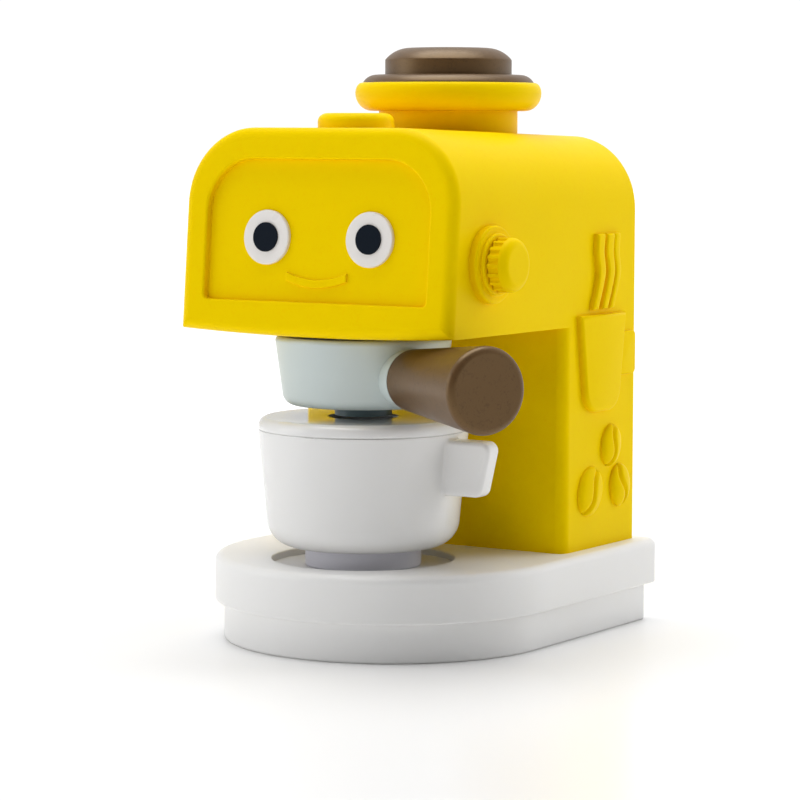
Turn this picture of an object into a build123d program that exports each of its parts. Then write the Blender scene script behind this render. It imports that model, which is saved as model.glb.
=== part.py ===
"""Toy coffee maker: base, housing, hopper, knob, button, portafilter and cup.

Millimetres. X points right, Y points back and Z points up. The origin lies on the
surface that the toy stands on, under the middle of the cup.
"""
import math
import os

from build123d import *

# Base: two tiers, each a half circle in front and square behind
DECK_LEDGE = 6.3
DECK_BACK_LEDGE = 6.3
BASE_ARC_Y = 16.5
DECK_LOW_Z = 12.4
DECK_HEIGHT = 15.0
DECK_PLATE = 4.0
DECK_EDGE_R = 2.5
DECK_SKIRT_R = 0.8
DECK_CORNER_R = 4.0
PLINTH_INSET = 2.9
PLINTH_BACK_INSET = 2.2
PLINTH_FLOOR = 3.0
PLINTH_WALL = 2.4
PLINTH_EDGE_R = 0.8
BASE_NEST_GAP = 0.2
BASE_BOSS_R = 3.5
BASE_BOSS_IN = 6.7
BASE_BOSS_BACK_IN = 3.1
BASE_SCREW_TURN = 46.5
RECESS_R = 29.1
RECESS_DEPTH = 2.2
RECESS_EDGE_R = 0.5
STAND_R = 18.5
STAND_HEIGHT = 6.4
STAND_EDGE_R = 0.6
STAND_FOOT = 0.5

# Housing: head and column
HOUSING_HALF_WIDTH = 50.6
HOUSING_BACK_Y = 87.7
HEAD_HEIGHT = 63.6
ROOF_FLAT_ROOM = 1.6
ROOF_FALL = 2.8
HEAD_BELLY = 1.4
HEAD_FRONT_Y = -30.2
HEAD_LEAN = 5.0
COLUMN_FRONT_Y = 40.1
HOUSING_WALL = 2.5
HEAD_FLOOR = 3.0
FRONT_EDGE_R = 3.5
COLUMN_EDGE_R = 3.5
REAR_EDGE_R = 1.8
COLUMN_BOSS_R = 4.5
COLUMN_BOSS_HEIGHT = 14.0
COLUMN_BOSS_BACK_IN = 12.7
BOSS_BITE = 0.6

# Rear cover
COVER_THICK = 3.0
COVER_GAP = 0.15
COVER_BOSS_R = 4.5
COVER_BOSS_LENGTH = 22.0
COVER_SCREW_UP = 34.6
COVER_SCREW_DOWN = 36.0

# Face panel and eyes
FACE_SIDE = 9.1
FACE_LOW = 9.8
FACE_ABOVE = 9.74
FACE_TOP_STEP = 7.5
FACE_LOW_R = 1.6
FACE_EDGE_R = 0.8
PANEL_MARGIN = 4.0
PANEL_THICK = 2.5
STAKE_R = 1.5
STAKE_HEAD = 0.8
EYE_X = 19.2
EYE_UP = 29.7
EYE_R = 8.6
EYE_THICK = 1.2
EYE_EDGE_R = 0.5
EYE_PEG_R = 2.5
PUPIL_R = 4.6
PUPIL_THICK = 0.6
MOUTH_UP = 16.5
MOUTH_WIDTH = 22.6
MOUTH_SMILE = 2.2
MOUTH_HEIGHT = 2.6
MOUTH_RELIEF = 0.9
MOUTH_EDGE_R = 0.4

# Raised picture on the right side, placed in from the back and up from the deck
MUG_IN = 10.2
MUG_WIDTH = 30.0
MUG_TAPER = 4.5
MUG_UP = 44.6
MUG_HEIGHT = 31.8
MUG_CORNER_R = 6.5
MUG_RELIEF = 2.2
MUG_EDGE_R = 1.0
EAR_DEPTH = 8.0
EAR_UP = 11.0
EAR_HEIGHT = 14.4
EAR_CORNER_R = 2.0
EAR_RELIEF = 1.2
EAR_EDGE_R = 0.5
STEAM_INS = [27.2, 21.0, 16.6]
STEAM_GAP = 1.6
STEAM_WIDTHS = [4.4, 4.4, 3.4]
STEAM_SWAYS = [-2.6, 1.0, -0.1, 0.2]
STEAM_HEIGHTS = [2.2, 15.5, 20.0, 23.0]
STEAM_BULGE = 1.4
STEAM_RELIEF = 1.9
STEAM_EDGE_R = 1.2
BEAN_PLACES = [(17.7, 32.8, 69), (31.3, 18.8, 55), (11.4, 19.1, 97)]
BEAN_LENGTHS = [14.2, 16.8, 14.4]
BEAN_WIDTHS = [12.0, 14.6, 12.4]
BEAN_RELIEF = 2.6
BEAN_EDGE_R = 2.2
BEAN_GROOVE = 1.3
BEAN_GROOVE_DEPTH = 1.0
BEAN_SWAY = 1.6

# Group ring and portafilter
GROUP_WALL = 1.5
GROUP_FLANGE_REACH = 8.1
GROUP_FLANGE = 2.0
GROUP_FRONT_GAP = 0.4
GROUP_SCREW_OUT = 4.2
GROUP_SCREW_DEPTH = 2.2
NECK_R = 19.5
NECK_WALL = 2.3
LUG_HEIGHT = 2.5
LUG_REACH = 3.1
LUG_SWEEP = 26.0
LUG_GAP_SLACK = 0.3
LUG_GAP_SWEEP = 32.0
STOP_R = 1.2
STOP_SLACK = 0.7
TWIST_BACK = -63.0
TWIST_ON = 17.0
BOWL_HEIGHT = 21.9
BOWL_CLEAR = 2.0
BOWL_LOW_R = 25.2
BOWL_FLARE = 3.0
BOWL_LOW_ROUND = 4.0
BOWL_RIM_ROUND = 1.5
BOWL_FLOOR = 3.0
BOWL_WALL = 2.8
BOWL_LEDGE = 2.2
BOWL_CAP = 3.0
HANDLE_TURN = 62.8
HANDLE_UP = 9.9
COLLAR_BITE = 2.2
COLLAR_OUT = 3.2
COLLAR_ROOT_R = 8.6
GRIP_LENGTH = 44.0
GRIP_START_R = 9.6
GRIP_END_R = 13.6
GRIP_END_ROUND = 2.2
GRIP_START_ROUND = 0.5
CORE_R = 4.0
CORE_LENGTH = 34.8
SPOUT_R = 9.1
SPOUT_LENGTH = 3.3
SPOUT_CLEAR = 0.5
SPOUT_PEG_R = 4.95
SPOUT_BORE_R = 3.0

# Cup
CUP_HEIGHT = 37.2
CUP_LID_HEIGHT = 3.9
CUP_LOW_R = 29.9
CUP_TOP_R = 33.5
CUP_LOW_ROUND = 8.5
CUP_RIM_ROUND = 3.0
CUP_SEAM_R = 0.4
CUP_WALL = 2.4
CUP_LID_SPIGOT = 3.0
CUP_LID_WALL = 2.0
CUP_HOLE_R = 11.0
CUP_HOLE_ROUND = 0.8
TAB_UP = 18.1
TAB_DOWN = 1.6
TAB_REACH = 15.8
TAB_SLOPE = 4.0
TAB_THICK = 7.0
TAB_CORNER_R = 3.0
TAB_EDGE_R = 1.6
TAB_ROOT_R = 1.0

# Hopper and lid
HOPPER_IN = 37.4
HOPPER_NECK_R = 22.8
HOPPER_NECK_HEIGHT = 5.4
HOPPER_RIM_REACH = 7.8
HOPPER_RIM_HEIGHT = 9.2
HOPPER_RIM_ROUND = 4.2
HOPPER_RIM_WALL = 6.6
HOPPER_SHOULDER = 2.9
HOPPER_SINK = 0.3
HOPPER_SPIGOT = 12.0
HOPPER_FLOOR = 2.0
HOPPER_WALL = 2.5
HOPPER_MOUTH_DEPTH = 5.6
HOPPER_NUT_REACH = 5.1
HOPPER_NUT = 3.5
LID_INSET = 2.6
LID_FLANGE = 2.6
LID_FLANGE_ROUND = 2.2
LID_KNOB_R = 20.8
LID_KNOB_HEIGHT = 8.8
LID_KNOB_ROUND = 5.5
LID_WALL = 2.3
LID_SPIGOT = 4.4
LID_GAP = 0.3

# Button on the roof
BUTTON_Y = -4.5
BUTTON_R = 12.0
BUTTON_RISE = 4.5
BUTTON_ROUND = 1.8
BUTTON_SKIRT = 3.0
BUTTON_FLANGE_REACH = 1.6
BUTTON_FLANGE = 1.8
BUTTON_WALL = 2.2
BUTTON_CROWN = 2.5
GUIDE_DEPTH = 14.0
GUIDE_THICK = 2.4
GUIDE_CLEAR = 0.9
GUIDE_END = 4.0
GUIDE_WIDTH = 14.0
GUIDE_BOSS_R = 3.5
GUIDE_PIN = 8.0
SPRING_R = 5.6
SPRING_WALL = 1.3
SPRING_SLACK = 0.5

# Knob on the right side
KNOB_Y = -7.0
KNOB_UP = 22.0
PLATE_R = 12.0
PLATE_THICK = 2.6
PLATE_LAND = 2.4
PLATE_STEP = 1.2
PLATE_ROUND = 0.8
PLATE_SPIGOT_R = 5.0
KNOB_R = 8.4
KNOB_LENGTH = 6.4
KNOB_GAP = 0.3
KNOB_ROUND = 2.8
KNOB_FLUTES = 18
KNOB_FLUTE_R = 1.1
KNOB_FLUTE_LENGTH = 3.8
STEM_R = 3.0
WHEEL_R = 9.0
WHEEL_THICK = 3.0
WHEEL_TEETH = 12
WHEEL_NOTCH_R = 1.5
LEAF_THICK = 0.6
LEAF_GAP = 0.35
LEAF_REACH = 3.4
LEAF_LOW = 17.0
LEAF_HIGH = 5.0
LEAF_POST_DEPTH = 6.0
LEAF_POST_HIGH = 9.0
LEAF_SCREW_DOWN = 14.0

# Fasteners and fits
SCREW_R = 1.15
SCREW_PILOT_R = 1.2
SCREW_PASS_R = 1.6
SCREW_HEAD_R = 2.8
SCREW_HEAD = 1.6
SCREW_POCKET_R = 3.1
SCREW_SINK = 0.3
SCREW_LENGTH = 11.0
STAND_SCREW_LENGTH = 6.0
WHEEL_SCREW_LENGTH = 9.0
LEAF_SCREW_LENGTH = 5.0
TIP_ROOM = 1.0
PRESS_GAP = 0.05
RUN_GAP = 0.08
SEAT_GAP = 0.1
OVERSHOOT = 5.0

UP = (Align.CENTER, Align.CENTER, Align.MIN)
LEAN = math.radians(HEAD_LEAN)

# Heights, each carried by the one before it
DECK_TOP_Z = DECK_LOW_Z + DECK_HEIGHT
BELOW_DECK_Z = DECK_TOP_Z - DECK_PLATE
RECESS_Z = DECK_TOP_Z - RECESS_DEPTH
CUP_LOW_Z = RECESS_Z + STAND_HEIGHT
CUP_SEAM_Z = CUP_LOW_Z + CUP_HEIGHT
CUP_TOP_Z = CUP_SEAM_Z + CUP_LID_HEIGHT
SPOUT_LOW_Z = CUP_TOP_Z + SPOUT_CLEAR
BOWL_LOW_Z = SPOUT_LOW_Z + SPOUT_LENGTH
BOWL_TOP_Z = BOWL_LOW_Z + BOWL_HEIGHT
HANDLE_Z = BOWL_LOW_Z + HANDLE_UP
HEAD_LOW_Z = BOWL_TOP_Z + BOWL_CLEAR
HEAD_FLOOR_Z = HEAD_LOW_Z + HEAD_FLOOR
GROUP_TOP_Z = HEAD_FLOOR_Z + GROUP_FLANGE
NECK_TOP_Z = GROUP_TOP_Z + SEAT_GAP + LUG_HEIGHT
KNOB_Z = HEAD_LOW_Z + KNOB_UP
ROOF_Z = HEAD_LOW_Z + HEAD_HEIGHT
ROOF_BACK_Z = ROOF_Z - ROOF_FALL
ROOF_UNDER_Z = ROOF_BACK_Z - HOUSING_WALL
HOPPER_LOW_Z = ROOF_Z - HOPPER_SPIGOT
HOPPER_RIM_LOW_Z = ROOF_Z + HOPPER_NECK_HEIGHT
HOPPER_RIM_TOP_Z = HOPPER_RIM_LOW_Z + HOPPER_RIM_HEIGHT
LID_FLANGE_TOP_Z = HOPPER_RIM_TOP_Z + LID_FLANGE
LID_TOP_Z = LID_FLANGE_TOP_Z + LID_KNOB_HEIGHT
BUTTON_LOW_Z = ROOF_UNDER_Z - BUTTON_SKIRT
BUTTON_TOP_Z = ROOF_Z + BUTTON_RISE
GUIDE_TOP_Z = ROOF_Z - GUIDE_DEPTH

# Places across and along
INNER_HALF_WIDTH = HOUSING_HALF_WIDTH - HOUSING_WALL
DECK_HALF_WIDTH = HOUSING_HALF_WIDTH + DECK_LEDGE
DECK_BACK_Y = HOUSING_BACK_Y + DECK_BACK_LEDGE
COVER_FRONT_Y = HOUSING_BACK_Y - COVER_THICK
ROOF_FRONT_Y = HEAD_FRONT_Y + HEAD_HEIGHT * math.tan(LEAN)
ROOF_SLOPE = ROOF_FALL / (HOUSING_BACK_Y - ROOF_FRONT_Y)
FACE_HALF_WIDTH = HOUSING_HALF_WIDTH - FACE_SIDE
FACE_HIGH = HEAD_HEIGHT / math.cos(LEAN) - FACE_ABOVE
HOPPER_Y = HOUSING_BACK_Y - HOPPER_IN
KNOB_START_X = HOUSING_HALF_WIDTH + PLATE_THICK + PLATE_STEP + KNOB_GAP
WHEEL_OUTER_X = INNER_HALF_WIDTH - KNOB_GAP
WHEEL_INNER_X = WHEEL_OUTER_X - WHEEL_THICK

# Radii that follow from the piece inside or outside
GROUP_SPIGOT_R = NECK_R + LUG_REACH + LUG_GAP_SLACK + GROUP_WALL
GROUP_FLANGE_R = GROUP_SPIGOT_R + GROUP_FLANGE_REACH
GROUP_SCREW_R = GROUP_SPIGOT_R + GROUP_SCREW_OUT
BOWL_TOP_R = BOWL_LOW_R + BOWL_FLARE
BOWL_CAVITY_R = BOWL_LOW_R - BOWL_WALL
BOWL_MOUTH_R = BOWL_CAVITY_R + BOWL_LEDGE
COLLAR_START = BOWL_LOW_R - COLLAR_BITE
GRIP_START = BOWL_TOP_R + COLLAR_OUT
CORE_START = BOWL_LOW_R
CORE_END = CORE_START + CORE_LENGTH
CUP_FLARE = (CUP_TOP_R - CUP_LOW_R) / CUP_HEIGHT
HOPPER_RIM_R = HOPPER_NECK_R + HOPPER_RIM_REACH
HOPPER_MOUTH_R = HOPPER_RIM_R - HOPPER_RIM_WALL
HOPPER_SPIGOT_R = HOPPER_NECK_R - HOPPER_SHOULDER
HOPPER_THROAT_R = HOPPER_SPIGOT_R - HOPPER_WALL
HOPPER_NUT_R = HOPPER_SPIGOT_R + HOPPER_NUT_REACH
ROOF_CORNER_R = HOUSING_HALF_WIDTH - HOPPER_NUT_R - ROOF_FLAT_ROOM
FACE_TOP_R = ROOF_CORNER_R - FACE_TOP_STEP
LID_FLANGE_R = HOPPER_RIM_R - LID_INSET
BUTTON_FLANGE_R = BUTTON_R + BUTTON_FLANGE_REACH
GUIDE_SCREW_X = BUTTON_FLANGE_R + GUIDE_BOSS_R + GUIDE_CLEAR
GUIDE_HALF_LENGTH = GUIDE_SCREW_X + GUIDE_END
GUIDE_PIN_R = SPRING_R - SPRING_WALL - SPRING_SLACK

# Plane of the leaning front, seen from outside, with its origin at the lower edge
FRONT = Plane(
    origin=(0, HEAD_FRONT_Y, HEAD_LOW_Z),
    x_dir=(1, 0, 0),
    z_dir=(0, -math.cos(LEAN), math.sin(LEAN)),
)
# Plane of the right side, seen from outside: Y runs across and Z runs up
SIDE = Plane(origin=(HOUSING_HALF_WIDTH, 0, 0), x_dir=(0, 1, 0), z_dir=(1, 0, 0))
# Frame of the portafilter's handle, pointing out along the grip
HANDLE = Plane(
    origin=(0, 0, HANDLE_Z),
    z_dir=(math.sin(math.radians(HANDLE_TURN)), -math.cos(math.radians(HANDLE_TURN)), 0),
)


def rod(radius, low, high, x=0.0, y=0.0):
    """Upright cylinder between two heights."""
    return Pos(x, y, low) * Cylinder(radius, high - low, align=UP)


def tube(outer, inner, low, high, x=0.0, y=0.0):
    """Upright tube between two heights."""
    return rod(outer, low, high, x, y) - rod(inner, low, high, x, y)


def rod_x(radius, low, high, y, z):
    """Cylinder along X between two places."""
    return Pos(low, y, z) * Rot(0, 90, 0) * Cylinder(radius, high - low, align=UP)


def rod_y(radius, low, high, x, z):
    """Cylinder along Y between two places."""
    return Pos(x, low, z) * Rot(-90, 0, 0) * Cylinder(radius, high - low, align=UP)


def block(x_span, y_span, z_span):
    """Box between pairs of limits."""
    size = [high - low for low, high in (x_span, y_span, z_span)]
    middle = [(high + low) / 2 for low, high in (x_span, y_span, z_span)]
    return Pos(*middle) * Box(*size)


def rim_edges(shape, z):
    """Round edges of a turned shape that lie at one height."""
    edges = shape.edges().filter_by(GeomType.CIRCLE)
    return edges.filter_by(lambda edge: abs(edge.center().Z - z) < 1e-3)


def outer_rim(shape, z):
    """Widest round edge at one height."""
    return rim_edges(shape, z).sort_by(SortBy.RADIUS)[-1]


def screw(length, head_r=SCREW_HEAD_R):
    """Screw that stands head down at the origin, its shank pointing up."""
    head = rod(head_r, -SCREW_HEAD, 0)
    head = chamfer(outer_rim(head, -SCREW_HEAD), SCREW_HEAD / 4)
    slot = Pos(0, 0, -SCREW_HEAD) * Box(head_r, SCREW_HEAD / 2, SCREW_HEAD / 2)
    shank = rod(SCREW_R, 0, length)
    shank = chamfer(outer_rim(shank, length), SCREW_R / 2)
    return head + shank - slot


def group(solids):
    """Separate solids kept together in one node."""
    return Compound(children=list(solids))


def base_plan(half_width, back):
    """Half circle in front, square behind with small corners."""
    depth = back - BASE_ARC_Y
    plan = Pos(0, BASE_ARC_Y) * Circle(half_width)
    plan += Pos(0, BASE_ARC_Y + depth / 2) * Rectangle(2 * half_width, depth)
    corners = plan.vertices().group_by(Axis.Y)[-1]
    return fillet(corners, DECK_CORNER_R)


def base_screw_places():
    """Places of the screws that hold the plinth to the deck."""
    turn = math.radians(BASE_SCREW_TURN)
    reach = DECK_HALF_WIDTH - PLINTH_INSET - PLINTH_WALL - BASE_BOSS_R - BASE_BOSS_IN
    x = reach * math.sin(turn)
    front = BASE_ARC_Y - reach * math.cos(turn)
    back = DECK_BACK_Y - PLINTH_BACK_INSET - PLINTH_WALL - BASE_BOSS_R - BASE_BOSS_BACK_IN
    return [(side * x, y) for side in (-1, 1) for y in (front, back)]


def column_screw_places():
    """Places of the screws that hold the column to the deck."""
    x = INNER_HALF_WIDTH - COLUMN_BOSS_R + BOSS_BITE
    front = COLUMN_FRONT_Y + HOUSING_WALL + COLUMN_BOSS_R - BOSS_BITE
    back = HOUSING_BACK_Y - COLUMN_BOSS_BACK_IN
    return [(side * x, y) for side in (-1, 1) for y in (front, back)]


def cover_screw_places():
    """Places of the screws that hold the rear cover, across and up."""
    x = INNER_HALF_WIDTH - COVER_BOSS_R + BOSS_BITE
    heights = (DECK_TOP_Z + COVER_SCREW_UP, ROOF_Z - COVER_SCREW_DOWN)
    return [(side * x, z) for side in (-1, 1) for z in heights]


def base_deck():
    """Upper tier: a cap with a recess for the cup and bosses below."""
    plan = base_plan(DECK_HALF_WIDTH, DECK_BACK_Y)
    deck = Pos(0, 0, DECK_LOW_Z) * extrude(plan, DECK_TOP_Z - DECK_LOW_Z)
    deck = fillet(deck.faces().sort_by(Axis.Z)[-1].edges(), DECK_EDGE_R)
    deck = fillet(deck.faces().sort_by(Axis.Z)[0].edges(), DECK_SKIRT_R)
    inside = base_plan(
        DECK_HALF_WIDTH - PLINTH_INSET + BASE_NEST_GAP,
        DECK_BACK_Y - PLINTH_BACK_INSET + BASE_NEST_GAP,
    )
    deck -= Pos(0, 0, DECK_LOW_Z) * extrude(inside, BELOW_DECK_Z - DECK_LOW_Z)
    deck -= rod(RECESS_R, RECESS_Z, DECK_TOP_Z + OVERSHOOT)
    recess_rim = rim_edges(deck, DECK_TOP_Z).filter_by(lambda edge: edge.is_closed)
    deck = fillet(recess_rim, RECESS_EDGE_R)
    for x, y in base_screw_places():
        deck += rod(BASE_BOSS_R, PLINTH_FLOOR, BELOW_DECK_Z, x, y)
        tip = SCREW_SINK + SCREW_HEAD + SCREW_LENGTH + TIP_ROOM
        deck -= rod(SCREW_PILOT_R, PLINTH_FLOOR, tip, x, y)
    for x, y in column_screw_places():
        deck -= rod(SCREW_PASS_R, BELOW_DECK_Z, DECK_TOP_Z, x, y)
    return deck - rod(SCREW_PASS_R, BELOW_DECK_Z, DECK_TOP_Z)


def base_plinth():
    """Lower tier: a tray whose walls reach up inside the deck."""
    half_width = DECK_HALF_WIDTH - PLINTH_INSET
    back = DECK_BACK_Y - PLINTH_BACK_INSET
    tray = extrude(base_plan(half_width, back), BELOW_DECK_Z)
    tray = fillet(tray.faces().sort_by(Axis.Z)[0].edges(), PLINTH_EDGE_R)
    inside = base_plan(half_width - PLINTH_WALL, back - PLINTH_WALL)
    tray -= Pos(0, 0, PLINTH_FLOOR) * extrude(inside, BELOW_DECK_Z)
    for x, y in base_screw_places():
        tray -= rod(SCREW_POCKET_R, 0, SCREW_SINK + SCREW_HEAD, x, y)
        tray -= rod(SCREW_PASS_R, 0, PLINTH_FLOOR, x, y)
    return tray


def base_screws():
    """Screws up through the plinth into the deck."""
    seat = SCREW_SINK + SCREW_HEAD
    return group(Pos(x, y, seat) * screw(SCREW_LENGTH) for x, y in base_screw_places())


def column_screws():
    """Screws up through the deck into the column."""
    return group(Pos(x, y, BELOW_DECK_Z) * screw(SCREW_LENGTH) for x, y in column_screw_places())


def cup_stand():
    """Round pad in the recess, under the cup."""
    stand = rod(STAND_R, RECESS_Z, CUP_LOW_Z)
    stand = fillet(outer_rim(stand, CUP_LOW_Z), STAND_EDGE_R)
    stand = chamfer(outer_rim(stand, RECESS_Z), STAND_FOOT)
    return stand - rod(SCREW_PILOT_R, RECESS_Z, BELOW_DECK_Z + STAND_SCREW_LENGTH + TIP_ROOM / 2)


def stand_screw():
    """Screw up through the deck into the cup stand."""
    return Pos(0, 0, BELOW_DECK_Z) * screw(STAND_SCREW_LENGTH)


def roof_height(y):
    """Height of the roof, which falls a little from front to back."""
    return ROOF_Z - (y - ROOF_FRONT_Y) * ROOF_SLOPE


def front_view(inset, low, top, back, slope=0.0):
    """Head seen from the front, drawn in by a wall and run back from before its front."""
    start = HEAD_FRONT_Y - OVERSHOOT
    view = Pos(0, (low + top) / 2) * Rectangle(2 * (HOUSING_HALF_WIDTH - inset), top - low)
    view = fillet(view.vertices().group_by(Axis.Y)[-1], ROOF_CORNER_R - inset)
    plane = Plane(origin=(0, start, 0), x_dir=(1, 0, 0), z_dir=(0, -1, 0))
    return extrude(plane * view, back - start, dir=(0, 1, -slope))


def side_view(front_depth, low, top, back):
    """Head seen from the right, its front set back by a wall."""
    def front_y(z):
        return HEAD_FRONT_Y + (z - HEAD_LOW_Z) * math.tan(LEAN) + front_depth / math.cos(LEAN)

    outline = [(front_y(low), low), (front_y(top), top), (back, top), (back, low)]
    view = Plane.YZ * make_face(Polyline(*outline, close=True))
    return extrude(view, 2 * HOUSING_HALF_WIDTH, both=True)


def housing_outside():
    """Head and column as one rounded block."""
    start = HEAD_FRONT_Y - OVERSHOOT
    back = HOUSING_BACK_Y + OVERSHOOT
    head = front_view(0, DECK_TOP_Z, roof_height(start), back, ROOF_SLOPE)
    belly_r = (HOUSING_HALF_WIDTH**2 + HEAD_BELLY**2) / (2 * HEAD_BELLY)
    head &= rod_y(belly_r, start, back, 0, HEAD_LOW_Z - HEAD_BELLY + belly_r)
    head &= side_view(0, HEAD_LOW_Z - OVERSHOOT, ROOF_Z + OVERSHOOT, HOUSING_BACK_Y)
    head = fillet(head.faces().sort_by(Axis.Y)[0].edges(), FRONT_EDGE_R)
    column = block(
        (-HOUSING_HALF_WIDTH, HOUSING_HALF_WIDTH),
        (COLUMN_FRONT_Y, HOUSING_BACK_Y),
        (DECK_TOP_Z, HEAD_FLOOR_Z),
    )
    corners = column.edges().filter_by(Axis.Z).group_by(Axis.Y)[0]
    column = fillet(corners, COLUMN_EDGE_R)
    outside = head + column
    rear = outside.faces().sort_by(Axis.Y)[-1].edges()
    return fillet(rear.filter_by(lambda edge: edge.center().Z > DECK_TOP_Z + REAR_EDGE_R), REAR_EDGE_R)


def housing_inside():
    """Space in the head and column, open at the back and at the foot."""
    back = HOUSING_BACK_Y + OVERSHOOT
    head = front_view(HOUSING_WALL, HEAD_FLOOR_Z, ROOF_UNDER_Z, back)
    head &= side_view(HOUSING_WALL, HEAD_FLOOR_Z, ROOF_Z, back)
    column = block(
        (-INNER_HALF_WIDTH, INNER_HALF_WIDTH),
        (COLUMN_FRONT_Y + HOUSING_WALL, back),
        (DECK_TOP_Z - OVERSHOOT, HEAD_FLOOR_Z + OVERSHOOT),
    )
    return head + column


def face_plan(margin):
    """Outline of the face opening, grown by a margin, on the front plane."""
    half_width = FACE_HALF_WIDTH + margin
    low = FACE_LOW - margin
    high = FACE_HIGH + margin
    plan = Pos(0, (low + high) / 2) * Rectangle(2 * half_width, high - low)
    plan = fillet(plan.vertices().group_by(Axis.Y)[-1], FACE_TOP_R + margin)
    return fillet(plan.vertices().group_by(Axis.Y)[0], FACE_LOW_R + margin)


def opening_edges(shell):
    """Edges of the face opening that lie on the front plane."""
    def on_opening(edge):
        place = FRONT.to_local_coords(edge.center())
        within = abs(place.X) < FACE_HALF_WIDTH + FACE_EDGE_R and FACE_LOW - FACE_EDGE_R < place.Y
        return abs(place.Z) < 1e-3 and within and place.Y < FACE_HIGH + FACE_EDGE_R

    return shell.edges().filter_by(on_opening)


def stake_places():
    """Places of the pegs that hold the face panel, on the front plane."""
    across = FACE_HALF_WIDTH + PANEL_MARGIN / 2
    low = FACE_LOW + PANEL_MARGIN
    high = FACE_HIGH - FACE_TOP_R
    return [(side * across, up) for side in (-1, 1) for up in (low, high)]


def on_front(shape, depth):
    """Place a shape on the front plane, a depth behind it."""
    return FRONT * Pos(0, 0, -depth) * shape


def side_place(distance_in, up):
    """Place on the side plane, in from the back and up from the deck."""
    return Pos(HOUSING_BACK_Y - distance_in, DECK_TOP_Z + up)


def raised(plan, height, edge_r):
    """Plan raised by a height, with its upper edges rounded."""
    solid = extrude(plan, height)
    return fillet(solid.faces().sort_by(Axis.Z)[-1].edges(), edge_r)


def relief_mug():
    """Raised cup, drawn from the foot of its back edge."""
    outline = [
        (-MUG_TAPER, 0),
        (0, MUG_HEIGHT),
        (-MUG_WIDTH, MUG_HEIGHT),
        (MUG_TAPER - MUG_WIDTH, 0),
    ]
    mug = make_face(Polyline(*outline, close=True))
    mug = fillet(mug.vertices().group_by(Axis.Y)[0], MUG_CORNER_R)
    return side_place(MUG_IN, MUG_UP) * raised(mug, MUG_RELIEF, MUG_EDGE_R)


def relief_ear():
    """Flatter ear behind the raised cup."""
    ear = Pos(0, EAR_HEIGHT / 2) * RectangleRounded(2 * EAR_DEPTH, EAR_HEIGHT, EAR_CORNER_R)
    return side_place(MUG_IN, MUG_UP + EAR_UP) * raised(ear, EAR_RELIEF, EAR_EDGE_R)


def relief_steam(distance_in, width):
    """Raised wavy strip of steam above the cup."""
    foot, *joints = zip(STEAM_SWAYS, STEAM_HEIGHTS)
    bend = SagittaArc(foot, joints[0], STEAM_BULGE)
    strip = SlotArc(bend, width)
    for start, end in zip(joints, joints[1:]):
        bend = TangentArc(start, end, tangent=bend % 1)
        strip += SlotArc(bend, width)
    up = MUG_UP + MUG_HEIGHT + STEAM_GAP
    return side_place(distance_in, up) * raised(strip, STEAM_RELIEF, STEAM_EDGE_R)


def bean_groove(length):
    """S-shaped groove along a bean."""
    half = BEAN_GROOVE / 2
    reach = length / 2 + BEAN_GROOVE
    with BuildSketch() as groove:
        with BuildLine():
            for side in (-half, half):
                SagittaArc((-reach, side), (0, side), BEAN_SWAY)
                SagittaArc((0, side), (reach, side), -BEAN_SWAY)
            Line((-reach, -half), (-reach, half))
            Line((reach, -half), (reach, half))
        make_face()
    return groove.sketch


def relief_bean(place, length, width):
    """Raised coffee bean with its groove."""
    distance_in, up, turn = place
    bean = raised(Ellipse(length / 2, width / 2), BEAN_RELIEF, BEAN_EDGE_R)
    bean -= Pos(0, 0, BEAN_RELIEF - BEAN_GROOVE_DEPTH) * extrude(bean_groove(length), OVERSHOOT)
    return side_place(distance_in, up) * Rot(0, 0, turn) * bean


def side_picture():
    """Raised picture on the right side: cup, steam and beans."""
    solids = [relief_mug() + relief_ear()]
    solids += [relief_steam(*steam) for steam in zip(STEAM_INS, STEAM_WIDTHS)]
    solids += [relief_bean(*bean) for bean in zip(BEAN_PLACES, BEAN_LENGTHS, BEAN_WIDTHS)]
    return group(SIDE * solid for solid in solids)


def leaf_y():
    """Front face of the post that carries the click leaf."""
    return KNOB_Y + WHEEL_R + LEAF_GAP + LEAF_THICK


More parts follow.
